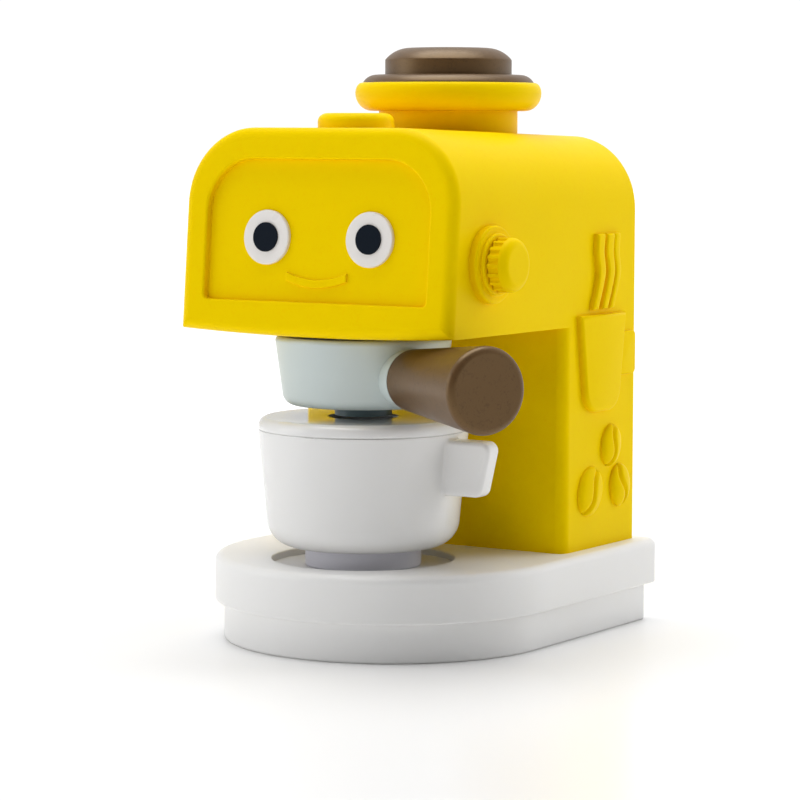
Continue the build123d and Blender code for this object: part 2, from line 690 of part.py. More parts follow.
def body_housing():
    """Yellow shell of the head and column."""
    shell = housing_outside() - housing_inside()
    opening = on_front(extrude(face_plan(0), HOUSING_WALL + OVERSHOOT), HOUSING_WALL + OVERSHOOT / 2)
    shell -= opening
    shell = fillet(opening_edges(shell), FACE_EDGE_R)
    for across, up in stake_places():
        stake = Pos(across, up) * Cylinder(STAKE_R, PANEL_THICK + STAKE_HEAD, align=UP)
        shell += on_front(stake, HOUSING_WALL + PANEL_THICK + STAKE_HEAD)
    for x, y in column_screw_places():
        shell += rod(COLUMN_BOSS_R, DECK_TOP_Z, DECK_TOP_Z + COLUMN_BOSS_HEIGHT, x, y)
        tip = BELOW_DECK_Z + SCREW_LENGTH + TIP_ROOM
        shell -= rod(SCREW_PILOT_R, DECK_TOP_Z, tip, x, y)
    for x, z in cover_screw_places():
        shell += rod_y(COVER_BOSS_R, COVER_FRONT_Y - COVER_BOSS_LENGTH, COVER_FRONT_Y, x, z)
        tip = HOUSING_BACK_Y - SCREW_HEAD - SCREW_LENGTH - TIP_ROOM
        shell -= rod_y(SCREW_PILOT_R, tip, COVER_FRONT_Y, x, z)
    for side in (-1, 1):
        x = side * GUIDE_SCREW_X
        shell += rod(GUIDE_BOSS_R, GUIDE_TOP_Z, ROOF_Z - HOUSING_WALL / 2, x, BUTTON_Y)
        tip = GUIDE_TOP_Z - GUIDE_THICK + SCREW_LENGTH + TIP_ROOM
        shell -= rod(SCREW_PILOT_R, GUIDE_TOP_Z, tip, x, BUTTON_Y)
    shell -= rod(BUTTON_R + RUN_GAP, ROOF_UNDER_Z, ROOF_Z, 0, BUTTON_Y)
    shell -= rod(HOPPER_SPIGOT_R + PRESS_GAP, ROOF_UNDER_Z, ROOF_Z, 0, HOPPER_Y)
    shell -= rod(HOPPER_NECK_R + SEAT_GAP, hopper_seat(), ROOF_Z, 0, HOPPER_Y)
    shell -= rod(GROUP_SPIGOT_R + PRESS_GAP, HEAD_LOW_Z - OVERSHOOT, HEAD_FLOOR_Z)
    for x, y in group_screw_places():
        shell -= rod(SCREW_PILOT_R, HEAD_FLOOR_Z - GROUP_SCREW_DEPTH - SEAT_GAP, HEAD_FLOOR_Z, x, y)
    shell -= rod_x(PLATE_SPIGOT_R + PRESS_GAP, INNER_HALF_WIDTH, HOUSING_HALF_WIDTH, KNOB_Y, KNOB_Z)
    shell += block(
        (WHEEL_INNER_X - LEAF_REACH, INNER_HALF_WIDTH + HOUSING_WALL / 2),
        (leaf_y(), leaf_y() + LEAF_POST_DEPTH),
        (HEAD_FLOOR_Z - HEAD_FLOOR / 2, KNOB_Z - LEAF_POST_HIGH),
    )
    tip = leaf_y() - LEAF_THICK + LEAF_SCREW_LENGTH + TIP_ROOM / 2
    shell -= rod_y(SCREW_PILOT_R, leaf_y(), tip, WHEEL_INNER_X, KNOB_Z - LEAF_SCREW_DOWN)
    return shell


def rear_cover():
    """Plate that closes the back of the housing."""
    inset = HOUSING_WALL + COVER_GAP
    plate = front_view(inset, DECK_TOP_Z + COVER_GAP, ROOF_UNDER_Z - COVER_GAP, HOUSING_BACK_Y)
    span = 2 * HOUSING_HALF_WIDTH
    plate &= block((-span, span), (COVER_FRONT_Y, HOUSING_BACK_Y), (0, 2 * ROOF_Z))
    for x, z in cover_screw_places():
        plate -= rod_y(SCREW_PASS_R, COVER_FRONT_Y, HOUSING_BACK_Y, x, z)
        plate -= rod_y(SCREW_POCKET_R, HOUSING_BACK_Y - SCREW_HEAD, HOUSING_BACK_Y, x, z)
    return plate


def rear_cover_screws():
    """Screws forward through the rear cover into the housing."""
    y = HOUSING_BACK_Y - SCREW_HEAD
    return group(Pos(x, y, z) * Rot(90, 0, 0) * screw(SCREW_LENGTH) for x, z in cover_screw_places())


def mouth_plan():
    """Gentle smile of even height."""
    half = MOUTH_WIDTH / 2
    with BuildSketch() as mouth:
        with BuildLine():
            for up in (0, MOUTH_HEIGHT):
                y = MOUTH_UP + up
                ThreePointArc((-half, y), (0, y - MOUTH_SMILE), (half, y))
            for side in (-half, half):
                Line((side, MOUTH_UP), (side, MOUTH_UP + MOUTH_HEIGHT))
        make_face()
    return mouth.sketch


def face_panel():
    """Panel behind the opening in the front, with the raised mouth."""
    panel = on_front(extrude(face_plan(PANEL_MARGIN), PANEL_THICK), HOUSING_WALL + PANEL_THICK)
    for across, up in stake_places():
        hole = Pos(across, up) * Cylinder(STAKE_R + PRESS_GAP, PANEL_THICK, align=UP)
        panel -= on_front(hole, HOUSING_WALL + PANEL_THICK)
    for side in (-1, 1):
        hole = Pos(side * EYE_X, EYE_UP) * Cylinder(EYE_PEG_R + PRESS_GAP, PANEL_THICK, align=UP)
        panel -= on_front(hole, HOUSING_WALL + PANEL_THICK)
    return panel + on_front(raised(mouth_plan(), MOUTH_RELIEF, MOUTH_EDGE_R), HOUSING_WALL)


def eye_white(side):
    """White disc with a peg through the panel."""
    disc = Cylinder(EYE_R, EYE_THICK, align=UP)
    disc = fillet(outer_rim(disc, EYE_THICK), EYE_EDGE_R)
    peg = Pos(0, 0, -PANEL_THICK) * Cylinder(EYE_PEG_R, PANEL_THICK, align=UP)
    return on_front(Pos(side * EYE_X, EYE_UP) * (disc + peg), HOUSING_WALL)


def eye_whites():
    """Both eyes."""
    return group(eye_white(side) for side in (-1, 1))


def pupils():
    """Dark discs on the eyes."""
    disc = Cylinder(PUPIL_R, PUPIL_THICK, align=UP)
    disc = fillet(outer_rim(disc, PUPIL_THICK), PUPIL_THICK / 3)
    return group(on_front(Pos(side * EYE_X, EYE_UP) * disc, HOUSING_WALL - EYE_THICK) for side in (-1, 1))


def group_screw_places():
    """Places of the screws that hold the group ring, one of them straight behind it."""
    turns = [math.radians(90 + 120 * step) for step in range(3)]
    return [(GROUP_SCREW_R * math.cos(turn), GROUP_SCREW_R * math.sin(turn)) for turn in turns]


def ring_sector(inner, outer, low, high, middle, sweep):
    """Part of a ring, centred on a direction in degrees."""
    ring = tube(outer, inner, low, high)
    reach = 2 * outer
    half = math.radians(sweep / 2)
    wedge = make_face(Polyline(
        (0, 0),
        (reach * math.cos(half), -reach * math.sin(half)),
        (reach * math.cos(half), reach * math.sin(half)),
        close=True,
    ))
    wedge = Pos(0, 0, low) * extrude(Rot(0, 0, middle) * wedge, high - low)
    return ring & wedge


def lug_turns():
    """Directions of the two bayonet lugs at rest, in degrees."""
    return [HANDLE_TURN, HANDLE_TURN + 180]


def group_ring():
    """Bayonet ring in the floor of the head, with two stops for a lug."""
    bore = NECK_R + RUN_GAP
    ring = tube(GROUP_SPIGOT_R, bore, HEAD_LOW_Z, HEAD_FLOOR_Z)
    ring += tube(GROUP_FLANGE_R, bore, HEAD_FLOOR_Z, GROUP_TOP_Z)
    gap_r = NECK_R + LUG_REACH + LUG_GAP_SLACK
    for turn in lug_turns():
        middle = turn + TWIST_BACK
        ring -= ring_sector(NECK_R - LUG_REACH, gap_r, HEAD_LOW_Z, GROUP_TOP_Z, middle, LUG_GAP_SWEEP)
    stop_at = NECK_R + LUG_REACH / 2
    stop_half = math.degrees(math.asin(STOP_R / stop_at))
    past = LUG_SWEEP / 2 + STOP_SLACK + stop_half
    for turn in (TWIST_ON + past, TWIST_BACK - past):
        spot = math.radians(HANDLE_TURN + turn)
        ring += rod(STOP_R, HEAD_FLOOR_Z, NECK_TOP_Z, stop_at * math.cos(spot), stop_at * math.sin(spot))
    for x, y in group_screw_places():
        ring -= rod(SCREW_PASS_R, HEAD_FLOOR_Z, GROUP_TOP_Z, x, y)
    front = HEAD_FRONT_Y + (GROUP_TOP_Z - HEAD_LOW_Z) * math.tan(LEAN) + HOUSING_WALL / math.cos(LEAN)
    reach = 2 * GROUP_FLANGE_R
    return ring - block((-reach, reach), (front - reach, front + GROUP_FRONT_GAP), (0, ROOF_Z))


def group_screws():
    """Screws down through the group ring into the floor of the head."""
    length = GROUP_FLANGE + GROUP_SCREW_DEPTH
    return group(Pos(x, y, GROUP_TOP_Z) * Rot(180, 0, 0) * screw(length) for x, y in group_screw_places())


def along_handle(shape, start):
    """Place a shape on the handle's axis, a distance out from the middle."""
    return HANDLE * Pos(0, 0, start) * shape


def portafilter_bowl():
    """Open bowl with the collar of the handle."""
    bowl = Pos(0, 0, BOWL_LOW_Z) * Cone(BOWL_LOW_R, BOWL_TOP_R, BOWL_HEIGHT, align=UP)
    bowl = fillet(outer_rim(bowl, BOWL_LOW_Z), BOWL_LOW_ROUND)
    bowl = fillet(outer_rim(bowl, BOWL_TOP_Z), BOWL_RIM_ROUND)
    collar = Cone(COLLAR_ROOT_R, GRIP_START_R, GRIP_START - COLLAR_START, align=UP)
    bowl += along_handle(collar, COLLAR_START)
    bowl -= rod(BOWL_CAVITY_R, BOWL_LOW_Z + BOWL_FLOOR, BOWL_TOP_Z)
    bowl -= rod(BOWL_MOUTH_R, BOWL_TOP_Z - BOWL_CAP, BOWL_TOP_Z)
    bowl -= rod(SPOUT_PEG_R + PRESS_GAP, BOWL_LOW_Z, BOWL_LOW_Z + BOWL_FLOOR)
    socket = Cylinder(CORE_R + PRESS_GAP, GRIP_START - CORE_START, align=UP)
    return bowl - along_handle(socket, CORE_START)


def portafilter_neck():
    """Cap of the bowl with the neck and the bayonet lugs."""
    neck = rod(BOWL_MOUTH_R - PRESS_GAP, BOWL_TOP_Z - BOWL_CAP, BOWL_TOP_Z)
    neck += rod(NECK_R, BOWL_TOP_Z, NECK_TOP_Z)
    root_r = NECK_R - NECK_WALL
    for turn in lug_turns():
        neck += ring_sector(
            root_r, NECK_R + LUG_REACH, GROUP_TOP_Z + SEAT_GAP, NECK_TOP_Z, turn, LUG_SWEEP
        )
    return neck - rod(root_r, BOWL_TOP_Z - BOWL_CAP, NECK_TOP_Z)


def handle_core():
    """Dowel that joins the grip to the bowl."""
    return along_handle(Cylinder(CORE_R, CORE_LENGTH, align=UP), CORE_START)


def handle_grip():
    """Brown grip that widens towards its end."""
    grip = Cone(GRIP_START_R, GRIP_END_R, GRIP_LENGTH, align=UP)
    grip = fillet(outer_rim(grip, GRIP_LENGTH), GRIP_END_ROUND)
    grip = fillet(outer_rim(grip, 0), GRIP_START_ROUND)
    grip -= Cylinder(CORE_R + PRESS_GAP, CORE_END - GRIP_START, align=UP)
    return along_handle(grip, GRIP_START)


def spout():
    """Dark outlet plugged into the bottom of the bowl."""
    body = rod(SPOUT_R, SPOUT_LOW_Z, BOWL_LOW_Z)
    body += rod(SPOUT_PEG_R, BOWL_LOW_Z, BOWL_LOW_Z + BOWL_FLOOR)
    return body - rod(SPOUT_BORE_R, SPOUT_LOW_Z, BOWL_LOW_Z + BOWL_FLOOR)


def cup_radius(z):
    """Outside radius of the cup's wall at a height."""
    return CUP_LOW_R + (z - CUP_LOW_Z) * CUP_FLARE


def cup_tab():
    """Flat tab handle of the cup."""
    low = CUP_LOW_Z + TAB_UP
    root = cup_radius(low) - CUP_WALL
    high = CUP_SEAM_Z - TAB_DOWN
    reach = CUP_TOP_R + TAB_REACH
    outline = [(root, low), (reach - TAB_SLOPE, low), (reach, high), (root, high)]
    plan = make_face(Polyline(*outline, close=True))
    plan = fillet(plan.vertices().sort_by(Axis.X)[-2:], TAB_CORNER_R)
    tab = extrude(Plane.XZ * plan, TAB_THICK / 2, both=True)
    sides = tab.faces().filter_by(Axis.Y).edges()
    return fillet(sides, TAB_EDGE_R)


def cup_shell():
    """Wall and floor of the cup, with its tab."""
    shell = Pos(0, 0, CUP_LOW_Z) * Cone(CUP_LOW_R, CUP_TOP_R, CUP_HEIGHT, align=UP)
    shell = fillet(outer_rim(shell, CUP_LOW_Z), CUP_LOW_ROUND)
    shell = fillet(outer_rim(shell, CUP_SEAM_Z), CUP_SEAM_R)
    tab = cup_tab()
    joined = shell + tab
    shell = fillet(new_edges(shell, tab, combined=joined), TAB_ROOT_R)
    inside = Cone(CUP_LOW_R - CUP_WALL, CUP_TOP_R - CUP_WALL, CUP_HEIGHT, align=UP)
    inside = fillet(outer_rim(inside, 0), CUP_LOW_ROUND - CUP_WALL)
    floor_z = CUP_LOW_Z + CUP_WALL
    cavity = Pos(0, 0, CUP_LOW_Z) * inside
    cavity &= rod(2 * CUP_TOP_R, floor_z, CUP_SEAM_Z)
    return shell - cavity


def cup_lid():
    """Rounded top of the cup with a round hole, plugged into the shell."""
    lid = rod(CUP_TOP_R, CUP_SEAM_Z, CUP_TOP_Z)
    lid = fillet(outer_rim(lid, CUP_TOP_Z), CUP_RIM_ROUND)
    lid = fillet(outer_rim(lid, CUP_SEAM_Z), CUP_SEAM_R)
    low = CUP_SEAM_Z - CUP_LID_SPIGOT
    spigot_r = cup_radius(low) - CUP_WALL - SEAT_GAP
    lid += rod(spigot_r, low, CUP_SEAM_Z)
    lid -= rod(spigot_r - CUP_LID_WALL, low, CUP_TOP_Z - CUP_WALL)
    lid -= rod(CUP_HOLE_R, low, CUP_TOP_Z)
    return fillet(rim_edges(lid, CUP_TOP_Z).sort_by(SortBy.RADIUS)[0], CUP_HOLE_ROUND)


def hopper_seat():
    """Height of the flat seat that is sunk into the roof for the hopper."""
    return roof_height(HOPPER_Y + HOPPER_NECK_R) - HOPPER_SINK


def hopper():
    """Neck and rim on the roof, hollow, with a spigot through the roof."""
    body = rod(HOPPER_RIM_R, HOPPER_RIM_LOW_Z, HOPPER_RIM_TOP_Z)
    body = fillet(rim_edges(body, HOPPER_RIM_LOW_Z) + rim_edges(body, HOPPER_RIM_TOP_Z), HOPPER_RIM_ROUND)
    body += rod(HOPPER_NECK_R, hopper_seat(), HOPPER_RIM_LOW_Z)
    body += rod(HOPPER_SPIGOT_R, HOPPER_LOW_Z, hopper_seat())
    body -= rod(HOPPER_THROAT_R, HOPPER_LOW_Z + HOPPER_FLOOR, HOPPER_RIM_TOP_Z)
    body -= rod(HOPPER_MOUTH_R, HOPPER_RIM_TOP_Z - HOPPER_MOUTH_DEPTH, HOPPER_RIM_TOP_Z)
    return Pos(0, HOPPER_Y) * body


def hopper_nut():
    """Ring under the roof that holds the hopper."""
    return tube(
        HOPPER_NUT_R, HOPPER_SPIGOT_R + PRESS_GAP, ROOF_UNDER_Z - HOPPER_NUT, ROOF_UNDER_Z, 0, HOPPER_Y
    )


def hopper_lid():
    """Brown lid: flange, hollow knob and spigot."""
    lid = rod(LID_FLANGE_R, HOPPER_RIM_TOP_Z, LID_FLANGE_TOP_Z)
    lid = fillet(outer_rim(lid, LID_FLANGE_TOP_Z), LID_FLANGE_ROUND)
    knob = rod(LID_KNOB_R, LID_FLANGE_TOP_Z, LID_TOP_Z)
    lid += fillet(outer_rim(knob, LID_TOP_Z), LID_KNOB_ROUND)
    low = HOPPER_RIM_TOP_Z - LID_SPIGOT
    lid += rod(HOPPER_MOUTH_R - LID_GAP, low, HOPPER_RIM_TOP_Z)
    lid -= rod(LID_KNOB_R - LID_WALL, low, LID_TOP_Z - LID_WALL)
    return Pos(0, HOPPER_Y) * lid


def power_button():
    """Hollow cap that slides in the roof, held by a flange below it."""
    cap = rod(BUTTON_R, BUTTON_LOW_Z, BUTTON_TOP_Z)
    cap = fillet(outer_rim(cap, BUTTON_TOP_Z), BUTTON_ROUND)
    flange_top = ROOF_UNDER_Z - SEAT_GAP
    cap += rod(BUTTON_FLANGE_R, flange_top - BUTTON_FLANGE, flange_top)
    cap -= rod(BUTTON_R - BUTTON_WALL, BUTTON_LOW_Z, BUTTON_TOP_Z - BUTTON_CROWN)
    return Pos(0, BUTTON_Y) * cap


def button_guide():
    """Bridge under the button that carries its spring."""
    low = GUIDE_TOP_Z - GUIDE_THICK
    bridge = extrude(SlotOverall(2 * GUIDE_HALF_LENGTH, GUIDE_WIDTH), GUIDE_THICK)
    bridge = Pos(0, 0, low) * bridge
    bridge += rod(GUIDE_PIN_R, low, GUIDE_TOP_Z + GUIDE_PIN)
    for side in (-1, 1):
        bridge -= rod(SCREW_PASS_R, low, GUIDE_TOP_Z, side * GUIDE_SCREW_X)
    return Pos(0, BUTTON_Y) * bridge


def button_guide_screws():
    """Screws up through the bridge into the roof."""
    z = GUIDE_TOP_Z - GUIDE_THICK
    return group(Pos(side * GUIDE_SCREW_X, BUTTON_Y, z) * screw(SCREW_LENGTH) for side in (-1, 1))


def button_spring():
    """Hidden return spring, drawn as a sleeve of its outer size."""
    return tube(SPRING_R, SPRING_R - SPRING_WALL, GUIDE_TOP_Z, BUTTON_TOP_Z - BUTTON_CROWN, 0, BUTTON_Y)


def knob_escutcheon():
    """Stepped ring on the side, with the bush that carries the knob's stem."""
    face_x = HOUSING_HALF_WIDTH
    step_x = face_x + PLATE_THICK
    disc = Cylinder(PLATE_R, PLATE_THICK, align=UP)
    disc = fillet(outer_rim(disc, PLATE_THICK), PLATE_ROUND)
    step = Cylinder(PLATE_R - PLATE_LAND, PLATE_STEP, align=UP)
    step = fillet(outer_rim(step, PLATE_STEP), min(PLATE_ROUND, PLATE_STEP / 2))
    plate = disc + Pos(0, 0, PLATE_THICK) * step
    plate = Pos(face_x, KNOB_Y, KNOB_Z) * Rot(0, 90, 0) * plate
    plate += rod_x(PLATE_SPIGOT_R, INNER_HALF_WIDTH, face_x, KNOB_Y, KNOB_Z)
    return plate - rod_x(STEM_R + RUN_GAP, INNER_HALF_WIDTH, step_x + PLATE_STEP, KNOB_Y, KNOB_Z)


def brew_knob():
    """Fluted knob with its stem."""
    grip = Cylinder(KNOB_R, KNOB_LENGTH, align=UP)
    grip = fillet(outer_rim(grip, KNOB_LENGTH), KNOB_ROUND)
    for step in range(KNOB_FLUTES):
        turn = 360 / KNOB_FLUTES * step
        flute = Cylinder(KNOB_FLUTE_R, KNOB_FLUTE_LENGTH, align=UP)
        grip -= Rot(0, 0, turn) * Pos(KNOB_R + KNOB_FLUTE_R / 3, 0, 0) * flute
    knob = Pos(KNOB_START_X, KNOB_Y, KNOB_Z) * Rot(0, 90, 0) * grip
    knob += rod_x(STEM_R, WHEEL_INNER_X, KNOB_START_X, KNOB_Y, KNOB_Z)
    tip = WHEEL_INNER_X + WHEEL_SCREW_LENGTH + TIP_ROOM
    return knob - rod_x(SCREW_PILOT_R, WHEEL_INNER_X, tip, KNOB_Y, KNOB_Z)


def click_wheel():
    """Notched wheel on the inner end of the knob's stem."""
    wheel = Cylinder(WHEEL_R, WHEEL_THICK, align=UP)
    for step in range(WHEEL_TEETH):
        notch = Cylinder(WHEEL_NOTCH_R, WHEEL_THICK, align=UP)
        wheel -= Rot(0, 0, 360 / WHEEL_TEETH * step) * Pos(WHEEL_R + WHEEL_NOTCH_R / 3, 0, 0) * notch
    wheel -= Cylinder(STEM_R + PRESS_GAP, WHEEL_THICK, align=UP)
    return Pos(WHEEL_INNER_X, KNOB_Y, KNOB_Z) * Rot(0, 90, 0) * wheel


def click_wheel_screw():
    """Screw that holds the wheel on the stem."""
    head_r = STEM_R + SCREW_HEAD
    return Pos(WHEEL_INNER_X, KNOB_Y, KNOB_Z) * Rot(0, 90, 0) * screw(WHEEL_SCREW_LENGTH, head_r)


def click_leaf():
    """Springy strip beside the wheel."""
    back = leaf_y()
    leaf = block(
        (WHEEL_INNER_X - LEAF_REACH, WHEEL_OUTER_X),
        (back - LEAF_THICK, back),
        (KNOB_Z - LEAF_LOW, KNOB_Z + LEAF_HIGH),
    )
    return leaf - rod_y(SCREW_PILOT_R, back - LEAF_THICK, back, WHEEL_INNER_X, KNOB_Z - LEAF_SCREW_DOWN)


def click_leaf_screw():
    """Screw that holds the leaf on its post."""
    place = Pos(WHEEL_INNER_X, leaf_y() - LEAF_THICK, KNOB_Z - LEAF_SCREW_DOWN)
    return place * Rot(-90, 0, 0) * screw(LEAF_SCREW_LENGTH)


PIECES = [
    base_deck,
    base_plinth,
    base_screws,
    column_screws,
    cup_stand,
    stand_screw,
    body_housing,
    side_picture,
    rear_cover,
    rear_cover_screws,
    face_panel,
    eye_whites,
    pupils,
    group_ring,
    group_screws,
    portafilter_bowl,
    portafilter_neck,
    handle_core,
    handle_grip,
    spout,
    cup_shell,
    cup_lid,
    hopper,
    hopper_nut,
    hopper_lid,
    power_button,
    button_guide,
    button_guide_screws,
    button_spring,
    knob_escutcheon,
    brew_knob,
    click_wheel,
    click_wheel_screw,
    click_leaf,
    click_leaf_screw,
]

os.makedirs("parts", exist_ok=True)
for piece in PIECES:
    export_step(piece(), f"parts/{piece.__name__}.step")
    print("wrote", piece.__name__)
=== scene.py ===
"""Toy coffee maker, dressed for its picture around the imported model.

Metres. X points right, Y points back and Z points up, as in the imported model.
"""
import logging
import math
from collections.abc import Callable
from dataclasses import dataclass, field
from enum import Enum

import bpy
from mathutils import Matrix, Vector

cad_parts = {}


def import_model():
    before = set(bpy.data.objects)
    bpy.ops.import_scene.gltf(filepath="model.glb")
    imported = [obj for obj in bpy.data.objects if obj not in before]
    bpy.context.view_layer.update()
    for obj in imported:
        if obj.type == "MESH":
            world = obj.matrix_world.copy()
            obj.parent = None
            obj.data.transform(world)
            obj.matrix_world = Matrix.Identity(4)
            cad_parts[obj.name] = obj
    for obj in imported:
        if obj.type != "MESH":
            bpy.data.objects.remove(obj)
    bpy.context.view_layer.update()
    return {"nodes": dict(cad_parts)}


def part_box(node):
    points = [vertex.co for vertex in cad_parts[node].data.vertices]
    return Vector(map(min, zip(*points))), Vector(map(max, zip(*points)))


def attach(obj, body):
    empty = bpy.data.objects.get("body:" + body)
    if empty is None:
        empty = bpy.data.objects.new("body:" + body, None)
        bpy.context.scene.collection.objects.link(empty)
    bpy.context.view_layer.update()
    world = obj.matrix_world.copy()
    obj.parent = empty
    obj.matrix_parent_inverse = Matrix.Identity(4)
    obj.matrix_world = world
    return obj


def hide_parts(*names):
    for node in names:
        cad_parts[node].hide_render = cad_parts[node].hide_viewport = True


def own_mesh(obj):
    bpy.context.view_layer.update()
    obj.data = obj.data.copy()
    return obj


LOG = logging.getLogger("coffee_maker")
Colour = tuple[float, float, float]
Point = tuple[float, float, float]
Ring = tuple[float, float]
MM = 0.001
GRAIN_HEIGHT = 0.2 * MM
SMOOTH_ANGLE = math.radians(50)
TURN_SIDES = 96
ARC_STEPS = 8
CORNER_STEPS = 4
DOME_STEPS = 12


class Effect(Enum):
    """Shader node groups that several finishes share."""

    SKIN = "moulded_skin"
    RUB = "edge_rub"
    CREASE = "crease_shade"


@dataclass
class NodeBoard:
    """Adds nodes to one node tree and joins them."""

    tree: bpy.types.NodeTree

    def add(self, kind: str, inputs: dict | None = None, **settings: object) -> bpy.types.Node:
        """Add a node, set its options and feed its inputs.

        Args:
            kind: Blender's name of the node.
            inputs: Value or output socket for each input, by name or number.
            settings: Options of the node.

        Returns:
            The new node.
        """
        node = self.tree.nodes.new(kind)
        for name, value in settings.items():
            setattr(node, name, value)
        for key, value in (inputs or {}).items():
            self.feed(node.inputs[key], value)
        return node

    def feed(self, socket: bpy.types.NodeSocket, value: object) -> None:
        """Join an output to an input socket, or set the socket's value.

        Args:
            socket: The input socket.
            value: An output socket to join, or a plain value.
        """
        if isinstance(value, bpy.types.NodeSocket):
            self.tree.links.new(value, socket)
        else:
            socket.default_value = value

    def math(self, operation: str, first: object, second: object = 0.0, clamp: bool = False) -> object:
        """Output of one sum on two values."""
        node = self.add("ShaderNodeMath", {0: first, 1: second}, operation=operation, use_clamp=clamp)
        return node.outputs[0]

    def remap(self, value: object, low: float, high: float) -> object:
        """Make a smooth step from one value to another.

        Args:
            value: What is remapped.
            low: Value that gives 0.
            high: Value that gives 1.

        Returns:
            The output socket.
        """
        node = self.add(
            "ShaderNodeMapRange",
            {"Value": value, "From Min": low, "From Max": high},
            interpolation_type="SMOOTHSTEP",
        )
        return node.outputs["Result"]

    def blend(self, factor: object, first: object, second: object) -> object:
        """Output of a mix of two colours."""
        node = self.add("ShaderNodeMix", {0: factor, 6: first, 7: second}, data_type="RGBA")
        return node.outputs[2]

    def noise(
        self, place: object, scale: object, detail: float = 2.0, roughness: float = 0.5
    ) -> object:
        """Spread a noise over the surface.

        Args:
            place: Coordinates on the piece.
            scale: Scale of the noise.
            detail: Number of finer layers.
            roughness: Strength of the finer layers.

        Returns:
            The output socket.
        """
        node = self.add(
            "ShaderNodeTexNoise",
            {"Vector": place, "Scale": scale, "Detail": detail, "Roughness": roughness},
        )
        return node.outputs["Fac"]


def start_group(effect: Effect, inputs: dict[str, tuple[str, float]], outputs: list[str]) -> NodeBoard:
    """Make an empty shader node group with its sockets.

    Args:
        effect: The effect that the group makes.
        inputs: Kind of socket and first value of each input.
        outputs: Names of the outputs, all of them single values.

    Returns:
        A board for the group's nodes.
    """
    tree = bpy.data.node_groups.new(effect.value, "ShaderNodeTree")
    for name, (kind, value) in inputs.items():
        socket = tree.interface.new_socket(name, in_out="INPUT", socket_type=kind)
        if kind == "NodeSocketFloat":
            socket.default_value = value
    for name in outputs:
        tree.interface.new_socket(name, in_out="OUTPUT", socket_type="NodeSocketFloat")
    return NodeBoard(tree)


def build_skin_group(
    fine_share: float = 0.65, coarse_scale: float = 0.31, cloud_scale: float = 0.45
) -> None:
    """Fine grain, drift of gloss and faint clouding of a moulded surface.

    Args:
        fine_share: Share of the finer grain.
        coarse_scale: Scale of the coarser grain, by that of the finer.
        cloud_scale: Scale of the clouds, by that of the gloss.
    """
    board = start_group(
        Effect.SKIN,
        {
            "Place": ("NodeSocketVector", 0.0),
            "Grain Scale": ("NodeSocketFloat", 2200.0),
            "Drift Scale": ("NodeSocketFloat", 45.0),
        },
        ["Grain", "Gloss Drift", "Cloud"],
    )
    source = board.add("NodeGroupInput")
    place = source.outputs["Place"]
    fine = board.noise(place, source.outputs["Grain Scale"], detail=3.0, roughness=0.6)
    coarser = board.math("MULTIPLY", source.outputs["Grain Scale"], coarse_scale)
    coarse = board.noise(place, coarser, detail=1.0)
    grain = board.math(
        "ADD",
        board.math("MULTIPLY", fine, fine_share),
        board.math("MULTIPLY", coarse, 1 - fine_share),
    )
    drift = board.noise(place, source.outputs["Drift Scale"], detail=4.0, roughness=0.55)
    cloudier = board.math("MULTIPLY", source.outputs["Drift Scale"], cloud_scale)
    cloud = board.noise(place, cloudier, detail=3.0)
    board.add(
        "NodeGroupOutput",
        {
            "Grain": grain,
            "Gloss Drift": board.remap(drift, low=0.3, high=0.7),
            "Cloud": board.remap(cloud, low=0.3, high=0.7),
        },
    )


def build_rub_group() -> None:
    """Mask of the edges, broken up as handling rubs them."""
    board = start_group(
        Effect.RUB,
        {
            "Place": ("NodeSocketVector", 0.0),
            "Width": ("NodeSocketFloat", 0.0008),
            "Patch Scale": ("NodeSocketFloat", 160.0),
        },
        ["Edge"],
    )
    source = board.add("NodeGroupInput")
    rounded = board.add("ShaderNodeBevel", {"Radius": source.outputs["Width"]}, samples=4)
    flat = board.add("ShaderNodeNewGeometry")
    turn = board.add(
        "ShaderNodeVectorMath",
        {0: rounded.outputs["Normal"], 1: flat.outputs["Normal"]},
        operation="DOT_PRODUCT",
    )
    away = board.math("SUBTRACT", 1.0, turn.outputs["Value"], clamp=True)
    patches = board.noise(
        source.outputs["Place"], source.outputs["Patch Scale"], detail=3.0, roughness=0.6
    )
    bent = board.remap(away, low=0.01, high=0.22)
    worn = board.remap(patches, low=0.25, high=0.65)
    board.add("NodeGroupOutput", {"Edge": board.math("MULTIPLY", bent, worn)})


def build_painted_shade_group() -> None:
    """Mask of the corners where little light gets in, for painted shade that deepens the colour there.
    """
    board = start_group(Effect.CREASE, {"Reach": ("NodeSocketFloat", 0.012)}, ["Shade"])
    source = board.add("NodeGroupInput")
    open_sky = board.add("ShaderNodeAmbientOcclusion", {"Distance": source.outputs["Reach"]}, samples=8)
    closed = board.math("SUBTRACT", 1.0, open_sky.outputs["AO"], clamp=True)
    board.add("NodeGroupOutput", {"Shade": board.remap(closed, low=0.15, high=0.85)})


